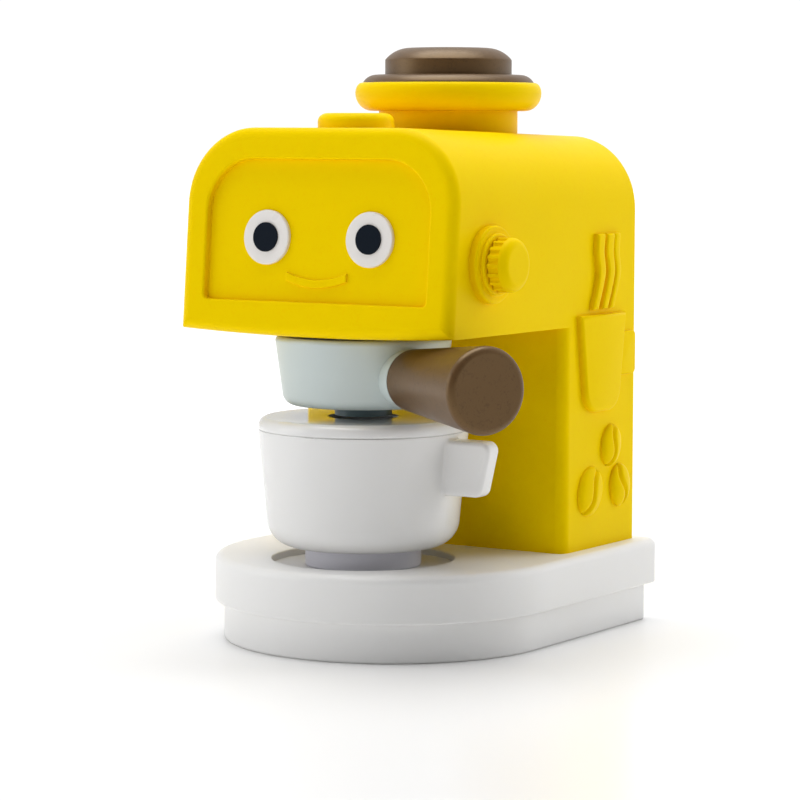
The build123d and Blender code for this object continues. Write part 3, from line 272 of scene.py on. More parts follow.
@dataclass(frozen=True)
class PlasticFinish:
    """Moulded plastic: colour, painted shade that deepens the colour in corners, paler rubbed edges and
    a fine grain.
    """

    name: str
    colour: Colour
    # Colour of the specks, and of the painted shade in corners and creases.
    speck_and_shade_colour: Colour
    rubbed: Colour
    roughness: float = 0.4
    rough_drift: float = 0.08
    grain_scale: float = 2200.0
    grain_depth: float = 0.05
    specular: float = 0.5
    specular_tint: Colour = (1.0, 1.0, 1.0)
    # Strength of the painted shade in corners and creases.
    painted_shade_share: float = 0.6
    rub_share: float = 0.5
    cloud_share: float = 0.1
    cloud_shade: float = 0.9
    speck_share: float = 0.0
    speck_range: tuple[float, float] = (0.52, 0.64)
    polish: float = 0.12

    def material(self) -> bpy.types.Material:
        """Build the finish.

        Returns:
            A material that reads only the piece's own coordinates.
        """
        made = bpy.data.materials.new(self.name)
        made.use_nodes = True
        made.node_tree.nodes.clear()
        board = NodeBoard(made.node_tree)
        place = board.add("ShaderNodeTexCoord").outputs["Object"]
        skin = self.group(board, Effect.SKIN, {"Place": place, "Grain Scale": self.grain_scale})
        rub = self.group(board, Effect.RUB, {"Place": place})
        painted_shade = self.group(board, Effect.CREASE, {})
        cloudy = tuple(part * self.cloud_shade for part in self.colour)
        shade = board.math("MULTIPLY", skin.outputs["Cloud"], self.cloud_share)
        colour = board.blend(shade, (*self.colour, 1), (*cloudy, 1))
        specks = board.remap(skin.outputs["Grain"], *self.speck_range)
        specks = board.math("MULTIPLY", specks, self.speck_share)
        colour = board.blend(specks, colour, (*self.speck_and_shade_colour, 1))
        # Painted shade: the colour deepens towards the shade colour in corners and creases where little
        # light gets in.
        shade_mix = board.math("MULTIPLY", painted_shade.outputs["Shade"], self.painted_shade_share)
        colour = board.blend(shade_mix, colour, (*self.speck_and_shade_colour, 1))
        worn = board.math("MULTIPLY", rub.outputs["Edge"], self.rub_share)
        colour = board.blend(worn, colour, (*self.rubbed, 1))
        drift = board.math("MULTIPLY", skin.outputs["Gloss Drift"], self.rough_drift)
        rough = board.math("ADD", drift, self.roughness - self.rough_drift / 2)
        polish = board.math("MULTIPLY", rub.outputs["Edge"], self.rub_share * self.polish)
        rough = board.math("SUBTRACT", rough, polish, clamp=True)
        bump = board.add(
            "ShaderNodeBump",
            {"Height": skin.outputs["Grain"], "Strength": self.grain_depth, "Distance": GRAIN_HEIGHT},
        )
        shader = board.add(
            "ShaderNodeBsdfPrincipled",
            {
                "Base Color": colour,
                "Roughness": rough,
                "Normal": bump.outputs["Normal"],
                "Specular IOR Level": self.specular,
                "Specular Tint": (*self.specular_tint, 1),
            },
        )
        board.add("ShaderNodeOutputMaterial", {"Surface": shader.outputs["BSDF"]})
        return made

    @staticmethod
    def group(board: NodeBoard, effect: Effect, inputs: dict) -> bpy.types.Node:
        """Place a shared effect in a material.

        Args:
            board: Board of the material.
            effect: The effect.
            inputs: Value or output socket for each input that the group does not set itself.

        Returns:
            The group's node.
        """
        node = board.add("ShaderNodeGroup", node_tree=bpy.data.node_groups[effect.value])
        for name, value in inputs.items():
            board.feed(node.inputs[name], value)
        return node


@dataclass(frozen=True)
class SteelFinish:
    """Zinc plated steel of the screws and springs, with a fine grain."""

    name: str
    colour: Colour = (0.62, 0.62, 0.6)
    dull_shade: float = 0.75
    roughness: float = 0.32
    rough_drift: float = 0.15
    grain_scale: float = 3200.0
    grain_depth: float = 0.15

    def material(self) -> bpy.types.Material:
        """Build the finish.

        Returns:
            A metal material with a drifting gloss.
        """
        made = bpy.data.materials.new(self.name)
        made.use_nodes = True
        made.node_tree.nodes.clear()
        board = NodeBoard(made.node_tree)
        place = board.add("ShaderNodeTexCoord").outputs["Object"]
        grain = {"Place": place, "Grain Scale": self.grain_scale}
        skin = PlasticFinish.group(board, Effect.SKIN, grain)
        dull = tuple(part * self.dull_shade for part in self.colour)
        colour = board.blend(skin.outputs["Cloud"], (*self.colour, 1), (*dull, 1))
        drift = board.math("MULTIPLY", skin.outputs["Gloss Drift"], self.rough_drift)
        bump = board.add(
            "ShaderNodeBump",
            {"Height": skin.outputs["Grain"], "Strength": self.grain_depth, "Distance": GRAIN_HEIGHT},
        )
        shader = board.add(
            "ShaderNodeBsdfPrincipled",
            {
                "Base Color": colour,
                "Metallic": 1.0,
                "Roughness": board.math("ADD", drift, self.roughness),
                "Normal": bump.outputs["Normal"],
            },
        )
        board.add("ShaderNodeOutputMaterial", {"Surface": shader.outputs["BSDF"]})
        return made


FINISHES = {
    finish.name: finish
    for finish in (
        PlasticFinish(
            "yellow_plastic",
            colour=(0.92, 0.65, 0.0),
            # Orange of the specks, and of the painted shade in the yellow's corners and creases.
            speck_and_shade_colour=(0.88, 0.44, 0.0),
            rubbed=(1.0, 0.82, 0.01),
            roughness=0.36,
            grain_scale=1600.0,
            grain_depth=0.1,
            specular=0.03,
            specular_tint=(1.0, 0.9, 0.02),
            # Strength of the painted shade in the yellow's corners and creases.
            painted_shade_share=0.4,
            speck_share=0.12,
        ),
        PlasticFinish(
            "white_plastic",
            colour=(0.87, 0.87, 0.865),
            speck_and_shade_colour=(0.77, 0.76, 0.74),
            rubbed=(0.92, 0.92, 0.92),
            roughness=0.38,
        ),
        PlasticFinish(
            "cup_white",
            colour=(0.81, 0.81, 0.805),
            speck_and_shade_colour=(0.71, 0.7, 0.68),
            rubbed=(0.86, 0.86, 0.86),
            roughness=0.24,
            rough_drift=0.05,
        ),
        PlasticFinish(
            "cup_top_white",
            colour=(0.8, 0.8, 0.795),
            speck_and_shade_colour=(0.7, 0.69, 0.67),
            rubbed=(0.86, 0.86, 0.86),
            roughness=0.07,
            rough_drift=0.03,
        ),
        PlasticFinish(
            "pale_plastic",
            colour=(0.56, 0.63, 0.62),
            speck_and_shade_colour=(0.44, 0.5, 0.49),
            rubbed=(0.66, 0.72, 0.71),
            roughness=0.36,
        ),
        PlasticFinish(
            "slate_plastic",
            colour=(0.14, 0.225, 0.24),
            speck_and_shade_colour=(0.08, 0.13, 0.15),
            rubbed=(0.19, 0.27, 0.29),
            roughness=0.34,
        ),
        PlasticFinish(
            "brown_plastic",
            colour=(0.088, 0.044, 0.016),
            speck_and_shade_colour=(0.034, 0.016, 0.006),
            rubbed=(0.15, 0.09, 0.047),
            roughness=0.38,
            specular=0.85,
            specular_tint=(1.0, 0.72, 0.4),
            speck_share=0.5,
            grain_scale=1500.0,
            grain_depth=0.14,
            cloud_share=0.24,
        ),
        PlasticFinish(
            "grey_plastic",
            colour=(0.76, 0.755, 0.82),
            speck_and_shade_colour=(0.62, 0.61, 0.67),
            rubbed=(0.82, 0.82, 0.87),
            roughness=0.42,
        ),
        PlasticFinish(
            "eye_white_plastic",
            colour=(0.83, 0.8, 0.77),
            speck_and_shade_colour=(0.72, 0.62, 0.5),
            rubbed=(0.88, 0.86, 0.84),
            roughness=0.3,
        ),
        PlasticFinish(
            "pupil_plastic",
            colour=(0.007, 0.011, 0.018),
            speck_and_shade_colour=(0.004, 0.006, 0.01),
            rubbed=(0.03, 0.036, 0.045),
            roughness=0.3,
            specular=0.04,
            rub_share=0.2,
        ),
        PlasticFinish(
            "inner_plastic",
            colour=(0.6, 0.6, 0.57),
            speck_and_shade_colour=(0.45, 0.45, 0.42),
            rubbed=(0.68, 0.68, 0.65),
            roughness=0.5,
        ),
        SteelFinish("steel"),
    )
}


@dataclass
class SubAssembly:
    """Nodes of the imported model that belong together, with the finish of each."""

    title: str
    finishes: dict[str, str] = field(default_factory=dict)

    def build(self, materials: dict[str, bpy.types.Material]) -> None:
        """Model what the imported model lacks, which is nothing unless a sub-assembly says so."""

    def dress(
        self, nodes: dict[str, bpy.types.Object], materials: dict[str, bpy.types.Material]
    ) -> None:
        """Give each node its finish.

        Args:
            nodes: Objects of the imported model, by node.
            materials: Finishes, by slot.
        """
        for node, slot in self.finishes.items():
            mesh = nodes[node].data
            mesh.materials.clear()
            mesh.materials.append(materials[slot])
            LOG.info("%s: %s in %s", self.title, node, slot)


class Pick(Enum):
    """Kinds of mesh element that an operator works on."""

    POINTS = "VERT"
    EDGES = "EDGE"


def start_block(name: str, low: Vector, high: Vector) -> bpy.types.Object:
    """Add a block between two corners, with its place in its mesh.

    Args:
        name: Name of the piece.
        low: Lowest corner.
        high: Highest corner.

    Returns:
        The block, active and alone in the selection.
    """
    bpy.ops.object.select_all(action="DESELECT")
    bpy.ops.mesh.primitive_cube_add(size=1, location=(low + high) / 2)
    piece = bpy.context.object
    piece.name = name
    piece.scale = high - low
    bpy.ops.object.transform_apply(location=True, rotation=True, scale=True)
    return piece


def pick(piece: bpy.types.Object, kind: Pick, test: Callable[[list[Vector]], bool]) -> None:
    """Select points or edges by their places and leave the piece in edit mode.

    Args:
        piece: The active piece.
        kind: What to select.
        test: Says of the places of an element's points whether it is selected.
    """
    bpy.ops.object.mode_set(mode="EDIT")
    bpy.ops.mesh.select_mode(type=kind.value)
    bpy.ops.mesh.select_all(action="DESELECT")
    bpy.ops.object.mode_set(mode="OBJECT")
    points = piece.data.vertices
    if kind is Pick.POINTS:
        for point in points:
            point.select = test([point.co])
    else:
        for edge in piece.data.edges:
            edge.select = test([points[index].co for index in edge.vertices])
    bpy.ops.object.mode_set(mode="EDIT")


def round_picked(offset: float, segments: int) -> None:
    """Bevel the selected edges and go back to object mode."""
    bpy.ops.mesh.bevel(offset=offset, segments=segments, profile=0.5, affect="EDGES")
    bpy.ops.object.mode_set(mode="OBJECT")


def sweep(middle: Ring, reach: Ring, first: float, last: float, steps: int = ARC_STEPS) -> list[Ring]:
    """Points of an elliptic arc in a turned profile.

    Args:
        middle: Radius and height of the arc's centre.
        reach: Half widths of the ellipse, across and up.
        first: Angle of the first point from straight up, in degrees.
        last: Angle of the last point.
        steps: Number of steps between them.

    Returns:
        Radius and height of each point.
    """
    angles = [math.radians(first + (last - first) * step / steps) for step in range(steps + 1)]
    return [(middle[0] + reach[0] * math.sin(a), middle[1] + reach[1] * math.cos(a)) for a in angles]


def dome(radius: float, top: float, run: float, rise: float, corner: float) -> list[Ring]:
    """Points of a domed shoulder, from an upright wall to a flat top.

    Args:
        radius: Radius of the wall.
        top: Height of the flat top.
        run: Width of the dome across.
        rise: Height of the dome.
        corner: Rounding between the wall and the dome.

    Returns:
        Radius and height of each point.
    """
    curve = (run**2 + rise**2) / (2 * rise)
    angle = math.asin((run - corner) / (curve - corner))
    middle = (radius - run, top - curve)
    bend = (radius - corner, middle[1] + (curve - corner) * math.cos(angle))
    start = sweep(bend, (corner, corner), 90, math.degrees(angle), CORNER_STEPS)
    return start + sweep(middle, (curve, curve), math.degrees(angle), 0, DOME_STEPS)[1:]


def turn_piece(name: str, place: Vector, rings: list[Ring]) -> bpy.types.Object:
    """Model a turned piece ring by ring, closed at both ends.

    Args:
        name: Name of the piece.
        place: A point on its upright axis.
        rings: Radius and height of each ring, from one end of the profile to the other.

    Returns:
        The piece, active and alone in the selection.
    """
    radius, height = rings[0]
    bpy.ops.object.select_all(action="DESELECT")
    bpy.ops.mesh.primitive_circle_add(
        vertices=TURN_SIDES, radius=radius, fill_type="NGON", location=(place.x, place.y, height)
    )
    piece = bpy.context.object
    piece.name = name
    bpy.ops.object.transform_apply(location=True, rotation=True, scale=True)
    bpy.ops.object.mode_set(mode="EDIT")
    bpy.ops.mesh.select_all(action="SELECT")
    for next_radius, next_height in rings[1:]:
        bpy.ops.mesh.extrude_region_move(TRANSFORM_OT_translate={"value": (0, 0, next_height - height)})
        factor = next_radius / radius
        middle = (place.x, place.y, next_height)
        bpy.ops.transform.resize(value=(factor, factor, 1), center_override=middle)
        radius, height = next_radius, next_height
    bpy.ops.object.mode_set(mode="OBJECT")
    return piece


def finish_piece(piece: bpy.types.Object, material: bpy.types.Material) -> None:
    """Smooth and dress a new piece.

    Args:
        piece: The active piece.
        material: Its finish.
    """
    bpy.ops.object.mode_set(mode="EDIT")
    bpy.ops.mesh.select_all(action="SELECT")
    bpy.ops.mesh.normals_make_consistent(inside=False)
    bpy.ops.object.mode_set(mode="OBJECT")
    bpy.ops.object.shade_smooth_by_angle(angle=SMOOTH_ANGLE)
    piece.data.materials.clear()
    piece.data.materials.append(material)


@dataclass
class SidePicture(SubAssembly):
    """Raised cup with its ear, steam and beans on the right side, with the soft edges of a moulding."""

    title: str = "side picture"
    finishes: dict[str, str] = field(default_factory=lambda: {"side_picture": "yellow_plastic"})
    slot: str = "yellow_plastic"
    body: str = "body"
    node: str = "side_picture"
    root: float = 0.3 * MM
    near: float = 0.001 * MM
    mug_in: float = 10.2 * MM
    mug_up: float = 44.6 * MM
    mug_width: float = 30.0 * MM
    mug_height: float = 31.8 * MM
    mug_foot: float = 0.7
    mug_corner: float = 6.5 * MM
    mug_corner_steps: int = 8
    mug_relief: float = 2.2 * MM
    mug_edge: float = 1.3 * MM
    mug_edge_steps: int = 5
    ear_depth: float = 8.0 * MM
    ear_up: float = 11.0 * MM
    ear_height: float = 14.4 * MM
    ear_corner: float = 1.8 * MM
    ear_corner_steps: int = 6
    ear_relief: float = 1.2 * MM
    ear_edge: float = 0.6 * MM
    ear_edge_steps: int = 4
    steam_ins: tuple[float, ...] = (27.2 * MM, 21.0 * MM, 16.6 * MM)
    steam_widths: tuple[float, ...] = (4.4 * MM, 4.4 * MM, 3.4 * MM)
    steam_gap: float = 1.6 * MM
    steam_height: float = 24.5 * MM
    steam_relief: float = 1.9 * MM
    steam_edge: float = 0.8 * MM
    steam_edge_steps: int = 4
    steam_foot: float = 0.8
    steam_flare: float = 0.3
    steam_sways: tuple[float, ...] = (-3.0 * MM, -0.5 * MM, 1.3 * MM, 0.1 * MM, 0.6 * MM)
    steam_cuts: int = 30
    bean_ins: tuple[float, ...] = (17.7 * MM, 31.3 * MM, 11.4 * MM)
    bean_ups: tuple[float, ...] = (32.8 * MM, 18.8 * MM, 19.1 * MM)
    bean_turns: tuple[float, ...] = (69.0, 55.0, 97.0)
    bean_lengths: tuple[float, ...] = (14.2 * MM, 16.8 * MM, 14.4 * MM)
    bean_widths: tuple[float, ...] = (12.0 * MM, 14.6 * MM, 12.4 * MM)
    bean_sides: int = 96
    bean_rings: int = 64
    bean_fullness: float = 0.8
    bean_relief: float = 2.6 * MM
    bean_groove: float = 0.8 * MM
    bean_depth: float = 1.3 * MM
    bean_sway: float = 1.5 * MM
    face_x: float = field(default=0.0, init=False)
    back_y: float = field(default=0.0, init=False)
    deck_z: float = field(default=0.0, init=False)

    def build(self, materials: dict[str, bpy.types.Material]) -> None:
        """Model the picture on the side of the housing.

        Args:
            materials: Finishes, by slot.
        """
        low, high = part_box("body_housing")
        self.face_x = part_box(self.node)[0].x
        self.back_y = high.y
        self.deck_z = low.z
        material = materials[self.slot]
        pieces = [self.mug(material), self.ear(material)]
        for number, strip in enumerate(zip(self.steam_ins, self.steam_widths), 1):
            pieces.append(self.steam(f"picture_steam_{number}", *strip, material))
        beans = zip(self.bean_ins, self.bean_ups, self.bean_turns, self.bean_lengths, self.bean_widths)
        for number, bean in enumerate(beans, 1):
            pieces.append(self.bean(f"picture_bean_{number}", bean, material))
        for piece in pieces:
            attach(piece, self.body)
            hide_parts(self.node)
            LOG.info("%s: modelled %s", self.title, piece.name)

    def corner(self, relief: float, distance_in: float, up: float) -> Vector:
        """Place at a height over the side, in from the back and up from the deck."""
        return Vector((self.face_x + relief, self.back_y - distance_in, self.deck_z + up))

    def pick_face(self, piece: bpy.types.Object, face_x: float) -> None:
        """Select the edges around the outer face of a piece.

        Args:
            piece: The active piece.
            face_x: Where its outer face is.
        """
        pick(
            piece,
            Pick.EDGES,
            lambda places: all(abs(place.x - face_x) < self.near for place in places),
        )

    def mug(self, material: bpy.types.Material) -> bpy.types.Object:
        """Model the cup, which narrows to a rounded foot.

        Args:
            material: Its finish.

        Returns:
            The cup.
        """
        low = self.corner(-self.root, self.mug_in + self.mug_width, self.mug_up)
        high = self.corner(self.mug_relief, self.mug_in, self.mug_up + self.mug_height)
        piece = start_block("picture_cup", low, high)
        middle = (low + high) / 2
        pick(piece, Pick.POINTS, lambda places: abs(places[0].z - low.z) < self.near)
        bpy.ops.transform.resize(value=(1, self.mug_foot, 1), center_override=middle)
        pick(
            piece,
            Pick.EDGES,
            lambda places: all(abs(place.z - low.z) < self.near for place in places)
            and abs(places[0].x - places[1].x) > self.mug_relief / 2,
        )
        round_picked(self.mug_corner, self.mug_corner_steps)
        self.pick_face(piece, high.x)
        round_picked(self.mug_edge, self.mug_edge_steps)
        finish_piece(piece, material)
        return piece

    def ear(self, material: bpy.types.Material) -> bpy.types.Object:
        """Model the flat ear behind the cup.

        Args:
            material: Its finish.

        Returns:
            The ear.
        """
        up = self.mug_up + self.ear_up
        low = self.corner(-self.root, self.mug_in + self.ear_depth / 2, up)
        high = self.corner(self.ear_relief, self.mug_in - self.ear_depth, up + self.ear_height)
        piece = start_block("picture_ear", low, high)
        pick(
            piece,
            Pick.EDGES,
            lambda places: abs(places[0].x - places[1].x) > self.ear_relief / 2
            and abs(places[0].y - high.y) < self.near,
        )
        round_picked(self.ear_corner, self.ear_corner_steps)
        self.pick_face(piece, high.x)
        round_picked(self.ear_edge, self.ear_edge_steps)
        finish_piece(piece, material)
        return piece

    def sway(self, share: float) -> float:
        """Sideways place of a steam strip.

        Args:
            share: Height on the strip, from 0 at its foot to 1 at its top.

        Returns:
            The smooth curve through the sways, at that height.
        """
        spans = len(self.steam_sways) - 1
        number = min(int(share * spans), spans - 1)
        step = share * spans - number
        before, start, end, after = (
            self.steam_sways[min(max(number + move, 0), spans)] for move in (-1, 0, 1, 2)
        )
        rise = (end - before) / 2
        fall = (after - start) / 2
        bend = 2 * start - 2 * end + rise + fall
        return start + step * (rise + step * (end - start - rise - bend + step * bend))

    def steam(
        self, name: str, distance_in: float, width: float, material: bpy.types.Material
    ) -> bpy.types.Object:
        """Model a wavy strip that widens upwards.

        Args:
            name: Name of the piece.
            distance_in: Place of the strip, in from the back.
            width: Its width.
            material: Its finish.

        Returns:
            The strip.
        """
        up = self.mug_up + self.mug_height + self.steam_gap
        half = width / 2
        low = self.corner(-self.root, distance_in + half, up)
        high = self.corner(self.steam_relief, distance_in - half, up + self.steam_height)
        piece = start_block(name, low, high)
        pick(piece, Pick.EDGES, lambda places: abs(places[0].z - places[1].z) > self.steam_height / 2)
        bpy.ops.mesh.subdivide(number_cuts=self.steam_cuts)
        bpy.ops.object.mode_set(mode="OBJECT")
        middle = (low.y + high.y) / 2
        for point in piece.data.vertices:
            share = (point.co.z - low.z) / self.steam_height
            wider = self.steam_foot + self.steam_flare * share
            point.co.y = middle + (point.co.y - middle) * wider + self.sway(share)
        pick(
            piece,
            Pick.EDGES,
            lambda places: all(abs(place.x - high.x) < self.near for place in places)
            and (
                abs(places[0].z - places[1].z) > self.near
                or min(abs(places[0].z - low.z), abs(places[0].z - high.z)) < self.near
            ),
        )
        round_picked(self.steam_edge, self.steam_edge_steps)
        finish_piece(piece, material)
        return piece

    def bean(
        self, name: str, bean: tuple[float, float, float, float, float], material: bpy.types.Material
    ) -> bpy.types.Object:
        """Model a pillow-shaped bean with an S-shaped groove.

        Args:
            name: Name of the piece.
            bean: Place in from the back, place up, turn in degrees, length and width.
            material: Its finish.

        Returns:
            The bean.
        """
        distance_in, up, turn, length, width = bean
        place = self.corner(0, distance_in, up)
        bpy.ops.object.select_all(action="DESELECT")
        bpy.ops.mesh.primitive_uv_sphere_add(
            segments=self.bean_sides, ring_count=self.bean_rings, radius=1
        )
        piece = bpy.context.object
        piece.name = name
        bpy.ops.object.mode_set(mode="EDIT")
        bpy.ops.mesh.bisect(
            plane_co=(-self.root / self.bean_relief, 0, 0),
            plane_no=(1, 0, 0),
            use_fill=True,
            clear_inner=True,
        )
        bpy.ops.object.mode_set(mode="OBJECT")
        for point in piece.data.vertices:
            along = point.co.y * length / 2
            wave = self.bean_sway * math.sin(2 * math.pi * along / length)
            apart = (point.co.z * width / 2 - wave) / self.bean_groove
            groove = self.bean_depth * math.exp(-apart * apart)
            rise = math.copysign(abs(point.co.x) ** self.bean_fullness, point.co.x) * self.bean_relief
            point.co = (max(rise - groove, min(rise, 0)), along, point.co.z * width / 2)
        piece.rotation_euler = (math.radians(turn), 0, 0)
        piece.location = place
        bpy.ops.object.transform_apply(location=True, rotation=True, scale=True)
        finish_piece(piece, material)
        return piece


@dataclass
class Base(SubAssembly):
    """Two white tiers, the grey stand for the cup and their screws."""

    title: str = "base"
    finishes: dict[str, str] = field(
        default_factory=lambda: {
            "base_deck": "white_plastic",
            "base_plinth": "white_plastic",
            "cup_stand": "grey_plastic",
            "base_screws": "steel",
            "column_screws": "steel",
            "stand_screw": "steel",
        }
    )


@dataclass
class Housing(SubAssembly):
    """Yellow head and column with the cover at the back."""

    title: str = "housing"
    finishes: dict[str, str] = field(
        default_factory=lambda: {
            "body_housing": "yellow_plastic",
            "rear_cover": "yellow_plastic",
            "rear_cover_screws": "steel",
        }
    )


@dataclass
class Face(SubAssembly):
    """Sunk panel at the front of the head, with its eyes."""

    title: str = "face"
    finishes: dict[str, str] = field(
        default_factory=lambda: {
            "face_panel": "yellow_plastic",
            "eye_whites": "eye_white_plastic",
            "pupils": "pupil_plastic",
        }
    )


@dataclass
class BrewGroup(SubAssembly):
    """Bayonet ring under the head, and the bowl with its handle and spout."""

    title: str = "brew group"
    finishes: dict[str, str] = field(
        default_factory=lambda: {
            "group_ring": "grey_plastic",
            "group_screws": "steel",
            "portafilter_bowl": "pale_plastic",
            "portafilter_neck": "pale_plastic",
            "handle_core": "inner_plastic",
            "handle_grip": "brown_plastic",
            "spout": "slate_plastic",
        }
    )


@dataclass
class Cup(SubAssembly):
    """Cup with its tab, and the polished top that closes it."""

    title: str = "cup"
    finishes: dict[str, str] = field(
        default_factory=lambda: {"cup_shell": "cup_white", "cup_lid": "cup_top_white"}
    )


@dataclass
class Hopper(SubAssembly):
    """Neck and rim on the roof, with the brown lid."""

    title: str = "hopper"
    finishes: dict[str, str] = field(
        default_factory=lambda: {
            "hopper": "yellow_plastic",
            "hopper_nut": "inner_plastic",
            "hopper_lid": "brown_plastic",
        }
    )
    floor: float = 2.0 * MM
    throat: float = 17.4 * MM
    mouth: float = 24.0 * MM
    mouth_depth: float = 5.6 * MM
    rim_height: float = 9.2 * MM
    rim_over: Ring = (2.2 * MM, 3.4 * MM)
    rim_under: Ring = (5.4 * MM, 5.8 * MM)
    neck: float = 22.8 * MM
    neck_height: float = 8.15 * MM
    spigot: float = 19.9 * MM
    crown: float = 20.8 * MM
    crown_height: float = 8.8 * MM
    crown_run: float = 8.1 * MM
    crown_rise: float = 3.9 * MM
    crown_corner: float = 1.0 * MM
    flange_height: float = 2.6 * MM
    flange_run: float = 4.2 * MM
    flange_rise: float = 2.4 * MM
    flange_corner: float = 0.5 * MM
    plug: float = 23.7 * MM
    hollow: float = 18.5 * MM
    hollow_roof: float = 2.8 * MM
    hollow_bevel: float = 3.0 * MM

    def build(self, materials: dict[str, bpy.types.Material]) -> None:
        """Turn the hopper and its lid with the rounded profiles of a moulding.

        Args:
            materials: Finishes, by slot.
        """
        for model, node, slot, body in (
            (self.bowl, "hopper", "yellow_plastic", "body"),
            (self.lid, "hopper_lid", "brown_plastic", "lid"),
        ):
            piece = model()
            finish_piece(piece, materials[slot])
            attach(piece, body)
            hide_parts(node)
            LOG.info("%s: modelled %s", self.title, piece.name)

    def bowl(self) -> bpy.types.Object:
        """Turn the neck and the rim, with a stepped hollow.

        Returns:
            The hopper.
        """
        low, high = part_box("hopper")
        rim = high.z - self.rim_height
        over, under = self.rim_over, self.rim_under
        rings = [
            (self.throat, low.z + self.floor),
            (self.throat, high.z - self.mouth_depth),
            (self.mouth, high.z - self.mouth_depth),
            (self.mouth, high.z),
            *sweep((high.x - over[0], high.z - over[1]), over, 0, 90),
            *sweep((high.x - under[0], rim + under[1]), under, 90, 180)[1:],
            (self.neck, rim),
            (self.neck, rim - self.neck_height),
            (self.spigot, rim - self.neck_height),
            (self.spigot, low.z),
        ]
        return turn_piece("hopper_turned", (low + high) / 2, rings)

    def lid(self) -> bpy.types.Object:
        """Turn the lid, with a domed crown, a sloping flange and a hollow plug.

        Returns:
            The lid.
        """
        low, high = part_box("hopper_lid")
        shelf = high.z - self.crown_height
        seat = shelf - self.flange_height
        ceiling = high.z - self.hollow_roof
        rings = [
            (self.hollow - self.hollow_bevel, ceiling),
            (self.hollow, ceiling - self.hollow_bevel),
            (self.hollow, low.z),
            (self.plug, low.z),
            (self.plug, seat),
            (high.x, seat),
            *dome(high.x, shelf, self.flange_run, self.flange_rise, self.flange_corner),
            (self.crown, shelf),
            *dome(self.crown, high.z, self.crown_run, self.crown_rise, self.crown_corner),
        ]
        return turn_piece("lid_turned", (low + high) / 2, rings)


@dataclass
class Button(SubAssembly):
    """Round button on the roof, with its guide and spring."""

    title: str = "button"
    finishes: dict[str, str] = field(
        default_factory=lambda: {
            "power_button": "yellow_plastic",
            "button_guide": "inner_plastic",
            "button_guide_screws": "steel",
            "button_spring": "steel",
        }
    )
    spring: str = "button_spring"
    slot: str = "steel"
    body: str = "body"
    joint: str = "button_press"
    travel: float = 2.5 * MM
    wire: float = 0.55 * MM
    wire_sides: int = 12
    coils: int = 6
    coil_steps: int = 48
    cap: float = 12.0 * MM
    cap_wall: float = 2.2 * MM
    cap_roof: float = 2.5 * MM
    cap_edge: Ring = (3.2 * MM, 2.6 * MM)
    stop_up: float = 1.1 * MM
    stop: float = 1.8 * MM

    def build(self, materials: dict[str, bpy.types.Material]) -> None:
        """Model the cap and its spring.

        Args:
            materials: Finishes, by slot.
        """
        self.turn_cap(materials["yellow_plastic"])
        self.wind_spring(materials[self.slot])

    def turn_cap(self, material: bpy.types.Material) -> None:
        """Turn the hollow cap, with a soft upper edge and the stop that holds it under the roof.

        Args:
            material: Its finish.
        """
        low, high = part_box("power_button")
        edge = self.cap_edge
        rings = [
            (self.cap - self.cap_wall, high.z - self.cap_roof),
            (self.cap - self.cap_wall, low.z),
            (self.cap, low.z),
            (self.cap, low.z + self.stop_up),
            (high.x, low.z + self.stop_up),
            (high.x, low.z + self.stop_up + self.stop),
            (self.cap, low.z + self.stop_up + self.stop),
            *sweep((self.cap - edge[0], high.z - edge[1]), edge, 90, 0),
        ]
        piece = turn_piece("button_turned", (low + high) / 2, rings)
        finish_piece(piece, material)
        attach(piece, "button")
        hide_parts("power_button")
        LOG.info("%s: modelled %s", self.title, piece.name)

    def wind_spring(self, material: bpy.types.Material) -> None:
        """Wind the return spring, a coil that shortens under the button.

        Args:
            material: Its finish.
        """
        low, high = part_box(self.spring)
        height = high.z - low.z
        foot = Vector(((low.x + high.x) / 2, (low.y + high.y) / 2, low.z))
        bpy.ops.object.select_all(action="DESELECT")
        bpy.ops.mesh.primitive_circle_add(
            vertices=self.wire_sides,
            radius=self.wire,
            location=((high.x - low.x) / 2 - self.wire, 0, self.wire),
            rotation=(math.pi / 2, 0, 0),
        )
        piece = bpy.context.object
        piece.name = "button_coil"
        bpy.ops.object.transform_apply(location=True, rotation=True, scale=True)
        winding = piece.modifiers.new("winding", "SCREW")
        winding.axis = "Z"
        winding.screw_offset = (height - 2 * self.wire) / self.coils
        winding.iterations = self.coils
        winding.steps = self.coil_steps
        winding.render_steps = self.coil_steps
        bpy.ops.object.modifier_apply(modifier=winding.name)
        bpy.ops.object.mode_set(mode="EDIT")
        bpy.ops.mesh.select_all(action="SELECT")
        bpy.ops.mesh.fill_holes(sides=0)
        bpy.ops.object.mode_set(mode="OBJECT")
        piece.location = foot
        bpy.ops.object.transform_apply(location=True, rotation=True, scale=True)
        finish_piece(piece, material)
        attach(piece, self.body)
        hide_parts(self.spring)
        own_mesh(piece)
        LOG.info("%s: modelled %s", self.title, piece.name)


@dataclass
class Knob(SubAssembly):
    """Fluted knob on the right side, with its ring and its clicking wheel."""

    title: str = "knob"
    finishes: dict[str, str] = field(
        default_factory=lambda: {
            "knob_escutcheon": "yellow_plastic",
            "brew_knob": "yellow_plastic",
            "click_wheel": "inner_plastic",
            "click_wheel_screw": "steel",
            "click_leaf": "steel",
            "click_leaf_screw": "steel",
        }
    )


@dataclass(frozen=True)
class Softbox:
    """Large soft lamp that looks at the toy."""

    name: str
    place: Point
    size: float
    watts: float
    mirrored: bool = True
    aim: Point = (0.0, 0.03, 0.09)

    def build(self) -> None:
        """Hang the lamp and turn it to its aim."""
        bpy.ops.object.light_add(type="AREA", location=self.place)
        lamp = bpy.context.object
        lamp.name = self.name
        lamp.data.shape = "DISK"
        lamp.data.size = self.size
        lamp.data.energy = self.watts
        lamp.visible_glossy = self.mirrored
        look = Vector(self.aim) - Vector(self.place)
        lamp.rotation_euler = look.to_track_quat("-Z", "Y").to_euler()


